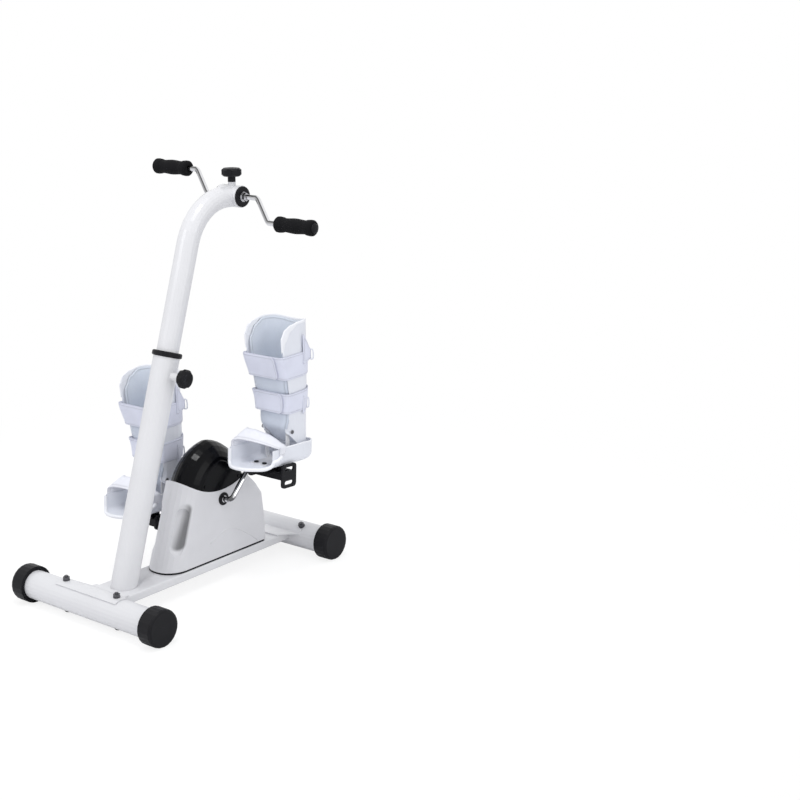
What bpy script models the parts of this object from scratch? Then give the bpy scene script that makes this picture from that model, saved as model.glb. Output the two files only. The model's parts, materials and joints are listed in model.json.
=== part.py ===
"""A pedal exerciser for hands and feet with leg supports.

Metres, +Z up. The rider sits behind the machine at +Y and faces -Y, so the rider's left is +X.
The origin is on the floor, midway between the front and the rear foot tube.
"""
import math

import bmesh
import bpy
from mathutils import Matrix, Vector

PARTS = "pedal_exerciser"
CUTTERS = "cutters"

# Clearances between pieces
SEAT = 0.0003
RUNNING = 0.0005

# Blocks that only cut
CUT_DEPTH = 0.2

# Base frame
WHEELBASE = 0.619
FRONT_WIDTH = 0.452
REAR_WIDTH = 0.360
FOOT_TUBE_RADIUS = 0.033
FOOT_TUBE_WALL = 0.002
CAP_RADIUS = 0.0425
CAP_FLAT = 0.0005
CAP_LENGTH = 0.037
CAP_END_WALL = 0.006
CAP_ROUNDING = 0.006
BEAM_WIDTH = 0.106
BEAM_HEIGHT = 0.020
BEAM_RISE = 0.002
BEAM_WALL = 0.002
BEAM_CORNER = 0.004

# Saddle plates and their bolts
SADDLE_THICKNESS = 0.003
FRONT_SADDLE_HALF_WIDTH = 0.097
FRONT_SADDLE_LIP = 122.0
FRONT_SADDLE_TAIL = 0.060
FRONT_SADDLE_LANDING = 0.048
FRONT_SADDLE_SHOULDER = 0.012
REAR_SADDLE_HALF_WIDTH = 0.090
REAR_SADDLE_LIP = 43.0
REAR_SADDLE_TAIL = 0.075
REAR_SADDLE_SHOULDER = 0.032
BOLT_RADIUS = 0.004
BOLT_HEAD_RADIUS = 0.0085
BOLT_HEAD_HEIGHT = 0.0045
NUT_RADIUS = 0.0075
NUT_HEIGHT = 0.0065
WASHER_RADIUS = 0.008
WASHER_THICKNESS = 0.0015
BOLT_TIP = 0.003
FRONT_BOLT_OFFSET = 0.082
REAR_BOLT_OFFSET = 0.084
REAR_BOLT_LEAN = 30.0

# Column and mast
COLUMN_TILT = 17.68
COLUMN_SETBACK = 0.0933
COLUMN_LENGTH = 0.5225
COLUMN_RADIUS = 0.030
COLUMN_WALL = 0.002
COLLAR_RADIUS = 0.034
COLLAR_HEIGHT = 0.012
COLLAR_SPIGOT = 0.045
MAST_RADIUS = 0.025
MAST_WALL = 0.002
MAST_INSERTION = 0.215
MAST_BEND = 0.130
HUB_HEIGHT = 0.8905
HUB_OVERHANG = 0.022

# Hub, brake and hand crank
HUB_RADIUS = 0.025
HUB_HALF_LENGTH = 0.031
HUB_WALL = 0.0025
HUB_CAP_THICKNESS = 0.0037
HUB_CAP_SPIGOT = 0.011
HUB_BOSS_RADIUS = 0.009
HUB_BOSS_HEIGHT = 0.007
HAND_ROD_RADIUS = 0.006
HAND_NUT_RADIUS = 0.010
HAND_NUT_WIDTH = 0.008
HAND_STUB_END = 0.079
HAND_ARM_OUT = 0.1205
HAND_CRANK_RADIUS = 0.0533
HAND_CRANK_ANGLE = 257.8
HAND_BEND = 0.013
GRIP_START = 0.1485
GRIP_LENGTH = 0.108
GRIP_END_RADIUS = 0.0182
GRIP_WAIST_RADIUS = 0.0150
BRAKE_SHOE_LENGTH = 0.022
BRAKE_SHOE_WIDTH = 0.014
BRAKE_SHOE_HEIGHT = 0.010

# Knobs
CLAMP_DISTANCE = 0.482
CLAMP_BOSS_RADIUS = 0.009
CLAMP_BOSS_END = 0.050
CLAMP_SCREW_RADIUS = 0.005
CLAMP_STEM_LENGTH = 0.008
CLAMP_KNOB_RADIUS = 0.0215
CLAMP_KNOB_THICKNESS = 0.018
TENSION_SCREW_RADIUS = 0.004
TENSION_STEM_RADIUS = 0.009
TENSION_STEM_HEIGHT = 0.012
TENSION_KNOB_RADIUS = 0.023
TENSION_KNOB_THICKNESS = 0.019
KNOB_LOBES = 6
KNOB_LOBE_DEPTH = 0.09

# Drive unit: the crank axis is its reference
CRANK_SETBACK = 0.366
CRANK_RISE = 0.144
CRANK_RADIUS = 0.0955
CRANK_ANGLE = 45.4
CRANK_ROD_RADIUS = 0.0065
CRANK_AXLE_RADIUS = 0.008
CRANK_AXLE_HALF_LENGTH = 0.054
CRANK_ARM_OUT = 0.0745
CRANK_BEND = 0.013
BUSH_RADIUS = 0.0135
BUSH_FLANGE_RADIUS = 0.0155
BUSH_FLANGE = 0.003
HOUSING_HALF_WIDTH = 0.050
HOUSING_WALL = 0.0025
HOUSING_NOSE = 0.046
HOUSING_EDGE = 0.009
HOUSING_SPLIT = 0.00015
TRAY_THICKNESS = 0.004
HOUSING_FRONT = 0.176
HOUSING_REAR = 0.145
HOUSING_TOP = 0.075
HOUSING_TOP_FRONT = 0.104
HOUSING_SLOPE = ((0.143, -0.076), (0.136, -0.020), (0.120, 0.003), (0.042, 0.075))
RIM_RADIUS = 0.165
RIM_CENTRE = (-0.003, 0.187)
RIM_REAR = (0.0765, 0.043)
GUARD_RADIUS = 0.1329
GUARD_CENTRE = (0.0201, 0.0044)
GUARD_REAR_SHIFT = 0.0459
GUARD_CROWN_RISE = 0.0399
GUARD_CREST = 0.001
GUARD_FULLNESS = 1.5
GUARD_CREASE = 0.0022
GUARD_DEPTH = 0.003
GUARD_SCREWS = ((-0.0542, 0.041), (0.0566, 0.0407))
GUARD_SCREW_RADIUS = 0.004
GUARD_SCREW_HEIGHT = 0.0016
POCKET_RADIUS = 0.022
POCKET_LENGTH = 0.076
POCKET_CENTRE = (0.0460, -0.1390, -0.046)
BRACKET_HALF_WIDTH = 0.036
BRACKET_WALL = 0.003
PULLEY_RADIUS = 0.066
PULLEY_X = 0.020
PULLEY_WIDTH = 0.012
PULLEY_GROOVE = 0.0015
PINION_RADIUS = 0.024
BELT_THICKNESS = 0.0025
BELT_WIDTH = 0.008
FLYWHEEL_CENTRE = (-0.076, -0.076)
FLYWHEEL_RADIUS = 0.057
FLYWHEEL_X = -0.004
FLYWHEEL_WIDTH = 0.020
FLYWHEEL_AXLE_RADIUS = 0.006

# Pedals
BOOT_OFFSET = 0.140
PEDAL_BARREL_RADIUS = 0.0115
PEDAL_INNER_FACE = -0.0515
PEDAL_OUTER_FACE = 0.0585
PEDAL_PLATE_THICKNESS = 0.005
PEDAL_PLATE_DEPTH = 0.048
PEDAL_PLATE_HEIGHT = 0.056
PEDAL_PLATE_CORNER = 0.008
PEDAL_SLOT_RISE = 0.0162
PEDAL_INNER_DEPTH = 0.0432
PEDAL_INNER_HEIGHT = 0.034
PEDAL_SLOT_LENGTH = 0.030
PEDAL_SLOT_HEIGHT = 0.010
PEDAL_TREAD = 0.008
PEDAL_TREAD_HEIGHT = 0.018
PEDAL_TREAD_INSET = 0.001
SADDLE_BLOCK_LENGTH = 0.060
SADDLE_BLOCK_WIDTH = 0.044
SADDLE_BLOCK_OVERLAP = 0.006
SADDLE_BLOCK_SETBACK = 0.004
SOLE_BOLT_OFFSET = 0.0125
SOLE_BOLT_SETBACK = -0.035
SOLE_BOLT_RADIUS = 0.003
SOLE_BOLT_HEAD = 0.0055

# Foot shell
TOE_UP = 3.0
SOLE_HEIGHT = 0.0210
SHELL_WALL = 0.003
FOOT_HALF_WIDTH = 0.0512
TOE_FLARE = 0.0030
TOE_LENGTH = 0.098
HEEL_LENGTH = 0.1145
HEEL_START = 0.042
HEEL_FULLNESS = 3.2
FOOT_CORNER = 0.016
TOE_TIP = -0.015
INNER_TOE_SWEEP = 0.018
OUTER_TOE_SWEEP = 0.063
WALL_TOP = (
    (-0.140, 0.0645), (-0.030, 0.0645), (0.000, 0.066),
    (0.060, 0.067), (0.100, 0.064), (0.140, 0.059),
)
TOE_FLARE_START = 0.078
HEEL_CLOSURE = 0.96

# Instep strap
INSTEP_LIFT = 0.0655
INSTEP_FRONT_RISE = 0.013
INSTEP_TWIST = 0.012
INSTEP_REAR_RISE = 0.043
INSTEP_THICKNESS = 0.003
INSTEP_REAR = -0.012
INSTEP_FRONT = -0.054
INSTEP_SWEEP = 0.036
INSTEP_LIMIT = -0.077
INSTEP_WRAP = 104.0

# Ankle and calf support
ANKLE = (0.0225, 0.097)
CALF_LEAN = 2.0
CALF_BACK_CENTRE = 0.0275
CALF_HALF_WIDTH = (
    (-0.045, 0.0400), (-0.010, 0.0420), (0.030, 0.0480), (0.120, 0.0540), (0.180, 0.0565), (0.260, 0.0580)
)
CALF_BACK_DEPTH = ((-0.045, 0.0545), (-0.020, 0.0545), (0.030, 0.0500), (0.100, 0.0530), (0.260, 0.0550))
CALF_REACH = (
    (-0.045, 0.0365), (0.010, 0.0365), (0.040, 0.0335), (0.070, 0.0330), (0.120, 0.0420), (0.190, 0.0575),
    (0.260, 0.0600),
)
CALF_CLOSE = ((0.000, 0.20), (0.035, 0.10), (0.070, 0.00))
CALF_BACK_SHARE = 0.58
CALF_TOP = ((0.00, 0.246), (0.45, 0.257), (0.62, 0.257), (0.80, 0.245), (0.93, 0.222), (1.00, 0.200))
CALF_BOTTOM = -0.043
CALF_BOTTOM_FRONT = -0.0097
CALF_BOTTOM_SLOPE = 1.04
LINER_THICKNESS = 0.004
LINER_GAP = 0.0018
LINER_BOTTOM = 0.026
LINER_COVER = 0.90
PAD_BOTTOM = 0.0085
PAD_TOP = 0.150
PAD_THICKNESS = 0.0035
PAD_SIDE = 0.0045
PAD_GAP = 0.0006
PAD_ROUNDING = 0.0038
PAD_FOOT_REACH = 0.0440
PAD_SLOPE = 0.75
STRAP_THICKNESS = 0.0025
STRAP_GAP = 0.0009
STRAP_FRONT = 0.0125
STRAP_CORNER = 0.012
LOWER_STRAP = (0.046, 0.095)
UPPER_STRAP = (0.129, 0.186)
STIRRUP_HALF_WIDTH = 0.0322
STIRRUP_THICKNESS = 0.002
STIRRUP_WIDTH = 0.012
STIRRUP_CORNER = 0.012
RIVET_RADIUS = 0.003
RIVET_SHOULDER_RADIUS = 0.005
RIVET_HEAD_RADIUS = 0.0048
RIVET_HEAD_HEIGHT = 0.002
RIVET_PLAY = 0.0028
RIVET_SHOULDER_PLAY = 0.0049

# Values that follow from the sizes above
HALF_BASE = WHEELBASE / 2
FOOT_AXIS = CAP_RADIUS - CAP_FLAT
BEAM_TOP = FOOT_AXIS + BEAM_RISE + BEAM_HEIGHT / 2
BEAM_MIDDLE = FOOT_AXIS + BEAM_RISE
TILT = math.radians(COLUMN_TILT)
COLUMN_DIRECTION = Vector((0, math.sin(TILT), math.cos(TILT)))
COLUMN_FOOT = Vector((0, COLUMN_SETBACK - HALF_BASE, BEAM_TOP))
CRANK_CENTRE = Vector((0, CRANK_SETBACK - HALF_BASE, BEAM_TOP + CRANK_RISE))
SIDEWAYS = (math.pi / 2, 0, math.pi / 2)
ALONG_X = (0, math.pi / 2, 0)
SIDES = {"left": 1, "right": -1}


def clear_scene():
    """Removes the startup objects and makes the two collections."""
    for obj in list(bpy.data.objects):
        bpy.data.objects.remove(obj, do_unlink=True)
    for name in (PARTS, CUTTERS):
        collection = bpy.data.collections.new(name)
        bpy.context.scene.collection.children.link(collection)


def finish(name, colour, metallic, roughness):
    """A Principled material."""
    material = bpy.data.materials.new(name)
    material.use_nodes = True
    shader = material.node_tree.nodes["Principled BSDF"]
    shader.inputs["Base Color"].default_value = (*colour, 1)
    shader.inputs["Metallic"].default_value = metallic
    shader.inputs["Roughness"].default_value = roughness
    return material


def link(obj, material):
    """Puts an object with a material among the parts, and one without among the cutters."""
    if material is None:
        obj.hide_render = True
        obj.display_type = "WIRE"
        bpy.data.collections[CUTTERS].objects.link(obj)
    else:
        obj.data.materials.append(material)
        bpy.data.collections[PARTS].objects.link(obj)
    return obj


def mesh_object(name, shape, material=None, location=(0, 0, 0), rotation=(0, 0, 0)):
    """Turns a bmesh into an object, smooth where its faces meet at a shallow angle."""
    mesh = bpy.data.meshes.new(name)
    shape.to_mesh(mesh)
    shape.free()
    mesh.shade_smooth()
    mesh.set_sharp_from_angle(angle=math.radians(35))
    obj = bpy.data.objects.new(name, mesh)
    obj.location = location
    obj.rotation_euler = rotation
    return link(obj, material)


def box(name, size, centre, material=None, rotation=(0, 0, 0)):
    """A rectangular block."""
    shape = bmesh.new()
    bmesh.ops.create_cube(shape, size=1)
    bmesh.ops.scale(shape, vec=size, verts=shape.verts)
    return mesh_object(name, shape, material, centre, rotation)


def drum(name, radius, length, centre, material=None, rotation=(0, 0, 0), sides=24):
    """A cylinder along its own Z."""
    shape = bmesh.new()
    bmesh.ops.create_cone(
        shape, cap_ends=True, segments=sides, radius1=radius, radius2=radius, depth=length
    )
    return mesh_object(name, shape, material, centre, rotation)


def turned(name, profile, material=None, location=(0, 0, 0), rotation=(0, 0, 0), sides=24):
    """A profile of (radius, height) pairs turned about its own Z; a ring's profile is closed."""
    shape = bmesh.new()
    points = [shape.verts.new((radius, 0, height)) for radius, height in profile]
    for first, second in zip(points, points[1:]):
        shape.edges.new((first, second))
    if profile[0][0] > 0:
        shape.edges.new((points[-1], points[0]))
    obj = mesh_object(name, shape, material, location, rotation)
    screw = obj.modifiers.new("turned", "SCREW")
    screw.steps = sides
    screw.render_steps = sides
    screw.use_merge_vertices = True
    screw.merge_threshold = 0.00001
    return obj


def slab(name, outlines, thickness, material=None, location=(0, 0, 0), rotation=(0, 0, 0)):
    """Flat outlines, extruded half the thickness each way along their own Z, as a mesh."""
    curve = bpy.data.curves.new(name, "CURVE")
    curve.dimensions = "2D"
    curve.fill_mode = "BOTH"
    curve.extrude = thickness / 2
    for outline in outlines:
        spline = curve.splines.new("POLY")
        spline.points.add(len(outline) - 1)
        for point, (x, y) in zip(spline.points, outline):
            point.co = (x, y, 0, 1)
        spline.use_cyclic_u = True
    return meshed(curve, name, material, location, rotation)


def rod(name, points, radius, material=None, resolution=4, location=(0, 0, 0)):
    """A round bar along a path of points, as a mesh."""
    curve = bpy.data.curves.new(name, "CURVE")
    curve.dimensions = "3D"
    curve.bevel_depth = radius
    curve.bevel_resolution = resolution
    curve.use_fill_caps = True
    spline = curve.splines.new("POLY")
    spline.points.add(len(points) - 1)
    for point, place in zip(spline.points, points):
        point.co = (*place, 1)
    return meshed(curve, name, material, location, (0, 0, 0))


def meshed(curve, name, material, location, rotation):
    """The curve's evaluated shape as a mesh object, its caps welded on."""
    guide = bpy.data.objects.new(name + "_curve", curve)
    bpy.context.scene.collection.objects.link(guide)
    graph = bpy.context.evaluated_depsgraph_get()
    mesh = bpy.data.meshes.new_from_object(guide.evaluated_get(graph))
    shape = bmesh.new()
    shape.from_mesh(mesh)
    bmesh.ops.remove_doubles(shape, verts=shape.verts, dist=0.00001)
    bmesh.ops.recalc_face_normals(shape, faces=shape.faces)
    bpy.data.objects.remove(guide, do_unlink=True)
    bpy.data.meshes.remove(mesh)
    return mesh_object(name, shape, material, location, rotation)


def combine(obj, other, operation="DIFFERENCE"):
    """Cuts the other object from this one, joins it on or keeps what both share."""
    modifier = obj.modifiers.new(operation.lower(), "BOOLEAN")
    modifier.operation = operation
    modifier.object = other
    return obj


def axis_empty(name, location, rotation=(0, 0, 0), parent=None):
    """An empty on a joint's axis, which carries the pieces that move about it."""
    empty = bpy.data.objects.new(name, None)
    empty.empty_display_size = 0.03
    empty.location = location
    empty.rotation_euler = rotation
    empty.parent = parent
    bpy.data.collections[PARTS].objects.link(empty)
    bpy.context.view_layer.update()
    return empty


def carried(obj, empty):
    """Parents a piece that is placed in the world to an empty, leaving it where it is."""
    obj.parent = empty
    obj.matrix_parent_inverse = empty.matrix_world.inverted()
    return obj


def arc(centre, radius, start, end, steps):
    """Points on an arc, its angles in degrees."""
    angles = [math.radians(start + (end - start) * i / steps) for i in range(steps + 1)]
    return [(centre[0] + radius * math.cos(a), centre[1] + radius * math.sin(a)) for a in angles]


def rounded_rectangle(width, height, corner, steps=3):
    """The outline of a rectangle with round corners, centred on the origin."""
    outline = []
    for quarter, (x, y) in enumerate(((1, 1), (-1, 1), (-1, -1), (1, -1))):
        centre = (x * (width / 2 - corner), y * (height / 2 - corner))
        outline += arc(centre, corner, 90 * quarter, 90 * quarter + 90, steps)
    return outline


def bent(points, radius, steps=5):
    """A path through the points, with each inner corner rounded to the bend radius."""
    points = [Vector(point) for point in points]
    path = [points[0]]
    for before, corner, after in zip(points, points[1:], points[2:]):
        back = (before - corner).normalized()
        ahead = (after - corner).normalized()
        half = back.angle(ahead) / 2
        setback = radius / math.tan(half)
        centre = corner + (back + ahead).normalized() * (radius / math.sin(half))
        first = corner + back * setback - centre
        last = corner + ahead * setback - centre
        swing = first.rotation_difference(last)
        for i in range(steps + 1):
            turn = swing.copy()
            turn.angle = swing.angle * i / steps
            path.append(centre + turn @ first)
    path.append(points[-1])
    return path


def between(stations, place):
    """The value at a place, eased between the stations' (place, value) pairs."""
    if place <= stations[0][0]:
        return stations[0][1]
    for (start, first), (end, second) in zip(stations, stations[1:]):
        if place <= end:
            share = (place - start) / (end - start)
            share = share * share * (3 - 2 * share)
            return first + (second - first) * share
    return stations[-1][1]


def inset(outline, distance):
    """The outline, given anticlockwise, with every side moved inwards by the distance."""
    count = len(outline)
    lines = []
    for i in range(count):
        start = Vector(outline[i])
        along = (Vector(outline[(i + 1) % count]) - start).normalized()
        inwards = Vector((-along.y, along.x))
        lines.append((start + inwards * distance, along))
    corners = []
    for i in range(count):
        (p, d), (q, e) = lines[i - 1], lines[i]
        reach = ((q.x - p.x) * e.y - (q.y - p.y) * e.x) / (d.x * e.y - d.y * e.x)
        corners.append(tuple(p + d * reach))
    return corners


def hexagon(radius):
    """The outline of a nut."""
    return arc((0, 0), radius, 0, 300, 5)


def surface(name, point, rows, columns, thickness, material, closed=False, flip=False):
    """A sheet whose point(row, column) takes shares from 0 to 1, thickened inwards."""
    shape = bmesh.new()
    bmesh.ops.create_grid(shape, x_segments=rows, y_segments=columns, size=1)
    for vert in shape.verts:
        vert.co = point((vert.co.x + 1) / 2, (vert.co.y + 1) / 2)
    if closed:
        bmesh.ops.remove_doubles(shape, verts=shape.verts, dist=0.00001)
    if flip:
        bmesh.ops.reverse_faces(shape, faces=shape.faces)
    obj = mesh_object(name, shape, material)
    shell = obj.modifiers.new("wall", "SOLIDIFY")
    shell.thickness = thickness
    shell.offset = -1
    return obj


def loft(name, rings, material=None):
    """A closed body through rings of equally many points, its two ends capped."""
    shape = bmesh.new()
    loops = [[shape.verts.new(place) for place in ring] for ring in rings]
    for first, second in zip(loops, loops[1:]):
        for i in range(len(first)):
            j = (i + 1) % len(first)
            shape.faces.new((first[i], first[j], second[j], second[i]))
    shape.faces.new(loops[0])
    shape.faces.new(loops[-1])
    bmesh.ops.recalc_face_normals(shape, faces=shape.faces)
    return mesh_object(name, shape, material)


# Base frame


def foot_tube(name, y, width, bolt_angle, bolt_offset, material):
    """A round cross tube with its two bolt holes."""
    length = width - 2 * (CAP_END_WALL + SEAT)
    inner = FOOT_TUBE_RADIUS - FOOT_TUBE_WALL
    half = length / 2
    profile = ((FOOT_TUBE_RADIUS, half), (FOOT_TUBE_RADIUS, -half), (inner, -half), (inner, half))
    tube = turned(name, profile, material, (0, y, FOOT_AXIS), ALONG_X)
    for side in (1, -1):
        hole = drum(
            f"{name}_hole_{side}", BOLT_RADIUS + SEAT, 4 * FOOT_TUBE_RADIUS,
            (side * bolt_offset, y, FOOT_AXIS), rotation=(bolt_angle, 0, 0), sides=12,
        )
        combine(tube, hole)
    return tube


def end_cap(name, side, y, width, material):
    """A cup over a tube end, flat where it meets the floor."""
    bore = FOOT_TUBE_RADIUS + SEAT
    end = width / 2
    mouth = end - CAP_LENGTH
    rounding = [
        (CAP_RADIUS - CAP_ROUNDING + x, z)
        for x, z in reversed(arc((0, end - CAP_ROUNDING), CAP_ROUNDING, 0, 90, 2))
    ]
    profile = [(0, end), *rounding, (CAP_RADIUS, mouth), (bore, mouth)]
    profile += [(bore, end - CAP_END_WALL), (0, end - CAP_END_WALL)]
    if side < 0:
        profile = [(radius, -height) for radius, height in reversed(profile)]
    cap = turned(name, profile, material, (0, y, FOOT_AXIS), ALONG_X, sides=24)
    floor = box(name + "_floor", (width, 4 * CAP_RADIUS, CAP_RADIUS), (side * end, y, -CAP_RADIUS / 2))
    return combine(cap, floor)


def base_beam(material):
    """The flat rectangular tube between the foot tubes, coped to fit them."""
    outer = rounded_rectangle(BEAM_WIDTH, BEAM_HEIGHT, BEAM_CORNER)
    inner = rounded_rectangle(
        BEAM_WIDTH - 2 * BEAM_WALL, BEAM_HEIGHT - 2 * BEAM_WALL, BEAM_CORNER - BEAM_WALL
    )
    beam = slab(
        "base_beam", (outer, inner), WHEELBASE, material, (0, 0, BEAM_MIDDLE), (math.pi / 2, 0, 0)
    )
    for end in (-1, 1):
        cope = drum(
            f"beam_cope_{end}", FOOT_TUBE_RADIUS + SEAT, 2 * BEAM_WIDTH,
            (0, end * HALF_BASE, FOOT_AXIS), rotation=ALONG_X, sides=64,
        )
        combine(beam, cope)
    return beam


def front_saddle_outline():
    """The front plate's side view from the tube's axis: over the tube, then down to the beam."""
    inside = FOOT_TUBE_RADIUS + SEAT
    outside = inside + SADDLE_THICKNESS
    rest = BEAM_TOP - FOOT_AXIS + SEAT
    landing = FRONT_SADDLE_LANDING
    tail = FRONT_SADDLE_TAIL
    lip = FRONT_SADDLE_LIP
    leave = math.degrees(math.atan2(rest, landing) + math.acos(inside / math.hypot(landing, rest)))
    under = arc((0, 0), inside, lip, leave, 10) + [(landing, rest), (tail, rest)]
    over = [(tail, rest + SADDLE_THICKNESS), (landing + SADDLE_THICKNESS / 3, rest + SADDLE_THICKNESS)]
    return under + over + arc((0, 0), outside, leave, lip, 10)


def rear_saddle_outline():
    """The rear plate's side view from the tube's axis: flat on the beam, then up the tube's face."""
    inside = FOOT_TUBE_RADIUS + SEAT
    outside = inside + SADDLE_THICKNESS
    rest = BEAM_TOP - FOOT_AXIS + SEAT
    tail = REAR_SADDLE_TAIL
    lip = REAR_SADDLE_LIP
    low = math.degrees(math.asin(rest / inside))
    high = math.degrees(math.asin((rest + SADDLE_THICKNESS) / outside))
    under = arc((0, 0), inside, lip, low, 5) + [(tail, rest)]
    return under + [(tail, rest + SADDLE_THICKNESS)] + arc((0, 0), outside, high, lip, 5)


def saddle_plan(half_width, shoulder, tail):
    """The plan of a plate that flares from the beam's width to its own, on one side and the other."""
    narrow = BEAM_WIDTH / 2
    steps = 6
    flare = []
    for i in range(steps + 1):
        x = narrow + (half_width - narrow) * (1 - math.sin(math.pi / 2 * i / steps))
        flare.append((x, shoulder + (tail - shoulder) * i / steps))
    front = -2 * FOOT_TUBE_RADIUS
    right = [(half_width, front), *flare, (narrow, tail + 0.01)]
    return right + [(-x, y) for x, y in reversed(right)]


def saddle(name, end, half_width, side_view, shoulder, tail, bolts, material):
    """A saddle plate; end is -1 at the front and 1 at the rear."""
    y = end * HALF_BASE
    side_view = [(-end * along, up) for along, up in side_view]
    plate = slab(name, (side_view,), 2 * half_width, material, (0, y, FOOT_AXIS), SIDEWAYS)
    plan = [(x, -end * along) for x, along in saddle_plan(half_width, shoulder, tail)]
    outline = slab(name + "_plan", (plan,), 4 * CAP_RADIUS, None, (0, y, FOOT_AXIS))
    combine(plate, outline, "INTERSECT")
    for side in (1, -1) if bolts else ():
        hole = drum(
            f"{name}_hole_{side}", BOLT_RADIUS + SEAT, 4 * FOOT_TUBE_RADIUS,
            (side * FRONT_BOLT_OFFSET, y, FOOT_AXIS), sides=12,
        )
        combine(plate, hole)
    return plate


def tube_bolt(name, x, y, lean, grip_top, material):
    """A dome-headed bolt through a foot tube, its nut and washer on top."""
    base = -FOOT_TUBE_RADIUS - SEAT
    top = grip_top + SEAT
    head = arc((0, base - BOLT_HEAD_HEIGHT / 2), BOLT_HEAD_HEIGHT / 2, -90, 0, 1)
    head = [(BOLT_HEAD_RADIUS - BOLT_HEAD_HEIGHT / 2 + x, z) for x, z in head]
    profile = [(0, top + WASHER_THICKNESS + NUT_HEIGHT + BOLT_TIP)]
    profile += [(BOLT_RADIUS, profile[0][1]), (BOLT_RADIUS, top + WASHER_THICKNESS)]
    profile += [(WASHER_RADIUS, top + WASHER_THICKNESS), (WASHER_RADIUS, top), (BOLT_RADIUS, top)]
    profile += [(BOLT_RADIUS, base), *reversed(head), (0, base - BOLT_HEAD_HEIGHT)]
    rotation = (lean, 0, 0)
    bolt = turned(name, profile, material, (x, y, FOOT_AXIS), rotation, sides=12)
    nut_middle = top + WASHER_THICKNESS + NUT_HEIGHT / 2
    centre = Matrix.Rotation(lean, 3, "X") @ Vector((0, 0, nut_middle))
    nut = slab(
        name + "_nut", (hexagon(NUT_RADIUS),), NUT_HEIGHT + 0.0004, None,
        (x, y + centre.y, FOOT_AXIS + centre.z), rotation,
    )
    return combine(bolt, nut, "UNION")


def base_frame(white, black, steel):
    """The two foot tubes, their caps, the beam, the saddles and the bolts."""
    rear_lean = math.radians(REAR_BOLT_LEAN)
    foot_tube("front_tube", -HALF_BASE, FRONT_WIDTH, 0, FRONT_BOLT_OFFSET, white)
    foot_tube("rear_tube", HALF_BASE, REAR_WIDTH, rear_lean, REAR_BOLT_OFFSET, white)
    for side_name, side in SIDES.items():
        end_cap(f"front_cap_{side_name}", side, -HALF_BASE, FRONT_WIDTH, black)
        end_cap(f"rear_cap_{side_name}", side, HALF_BASE, REAR_WIDTH, black)
    base_beam(white)
    saddle(
        "front_saddle", -1, FRONT_SADDLE_HALF_WIDTH, front_saddle_outline(),
        FRONT_SADDLE_SHOULDER, FRONT_SADDLE_TAIL, True, white,
    )
    saddle(
        "rear_saddle", 1, REAR_SADDLE_HALF_WIDTH, rear_saddle_outline(),
        REAR_SADDLE_SHOULDER, REAR_SADDLE_TAIL, False, white,
    )
    front_top = FOOT_TUBE_RADIUS + SEAT + SADDLE_THICKNESS
    for side_name, side in SIDES.items():
        tube_bolt(f"front_bolt_{side_name}", side * FRONT_BOLT_OFFSET, -HALF_BASE, 0, front_top, steel)
        tube_bolt(
            f"rear_bolt_{side_name}", side * REAR_BOLT_OFFSET, HALF_BASE, rear_lean,
            FOOT_TUBE_RADIUS, steel,
        )


# Column, mast and knobs


def column_tube(material):
    """The lower column tube with the threaded boss for the clamp knob."""
    inner = COLUMN_RADIUS - COLUMN_WALL
    below = -2 * COLUMN_RADIUS
    profile = ((COLUMN_RADIUS, COLUMN_LENGTH), (COLUMN_RADIUS, below), (inner, below), (inner, COLUMN_LENGTH))
    tube = turned("column_tube", profile, material, COLUMN_FOOT, (-TILT, 0, 0), sides=28)
    boss_centre = COLUMN_FOOT + COLUMN_DIRECTION * CLAMP_DISTANCE
    start = inner + COLUMN_WALL / 2
    boss = drum(
        "clamp_boss", CLAMP_BOSS_RADIUS, CLAMP_BOSS_END - start,
        boss_centre + Vector(((CLAMP_BOSS_END + start) / 2, 0, 0)), rotation=ALONG_X, sides=24,
    )
    combine(tube, boss, "UNION")
    bore = drum(
        "clamp_bore", CLAMP_SCREW_RADIUS + SEAT, 2 * CLAMP_BOSS_END,
        boss_centre + Vector((CLAMP_BOSS_END, 0, 0)), rotation=ALONG_X, sides=12,
    )
    combine(tube, bore)
    below_beam = box(
        "column_foot_cut", (CUT_DEPTH, CUT_DEPTH, CUT_DEPTH),
        (0, COLUMN_FOOT.y, BEAM_TOP + SEAT - CUT_DEPTH / 2),
    )
    return combine(tube, below_beam)


def column_collar(material):
    """The plastic guide in the column's mouth."""
    bore = MAST_RADIUS + SEAT
    spigot = COLUMN_RADIUS - COLUMN_WALL - SEAT
    low = COLUMN_LENGTH + SEAT
    high = low + COLLAR_HEIGHT
    chamfer = COLLAR_HEIGHT / 5
    profile = (
        (bore, high), (COLLAR_RADIUS - chamfer, high), (COLLAR_RADIUS, high - chamfer),
        (COLLAR_RADIUS, low + chamfer), (COLLAR_RADIUS - chamfer, low), (spigot, low),
        (spigot, low - COLLAR_SPIGOT), (bore, low - COLLAR_SPIGOT),
    )
    collar = turned("column_collar", profile, material, COLUMN_FOOT, (-TILT, 0, 0), sides=28)
    bore_cut = drum(
        "collar_screw_cut", CLAMP_SCREW_RADIUS + 2 * SEAT, COLUMN_RADIUS * 2,
        COLUMN_FOOT + COLUMN_DIRECTION * CLAMP_DISTANCE + Vector((COLUMN_RADIUS, 0, 0)),
        rotation=ALONG_X, sides=12,
    )
    return combine(collar, bore_cut)


def hub_centre():
    """The middle of the cross hub at the mast's end."""
    top_centre_z = HUB_HEIGHT - MAST_BEND
    start_z = top_centre_z + MAST_BEND * math.sin(TILT)
    along = (start_z - COLUMN_FOOT.z) / COLUMN_DIRECTION.z
    start = COLUMN_FOOT + COLUMN_DIRECTION * along
    return Vector((0, start.y + MAST_BEND * math.cos(TILT) + HUB_OVERHANG, HUB_HEIGHT))


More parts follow.
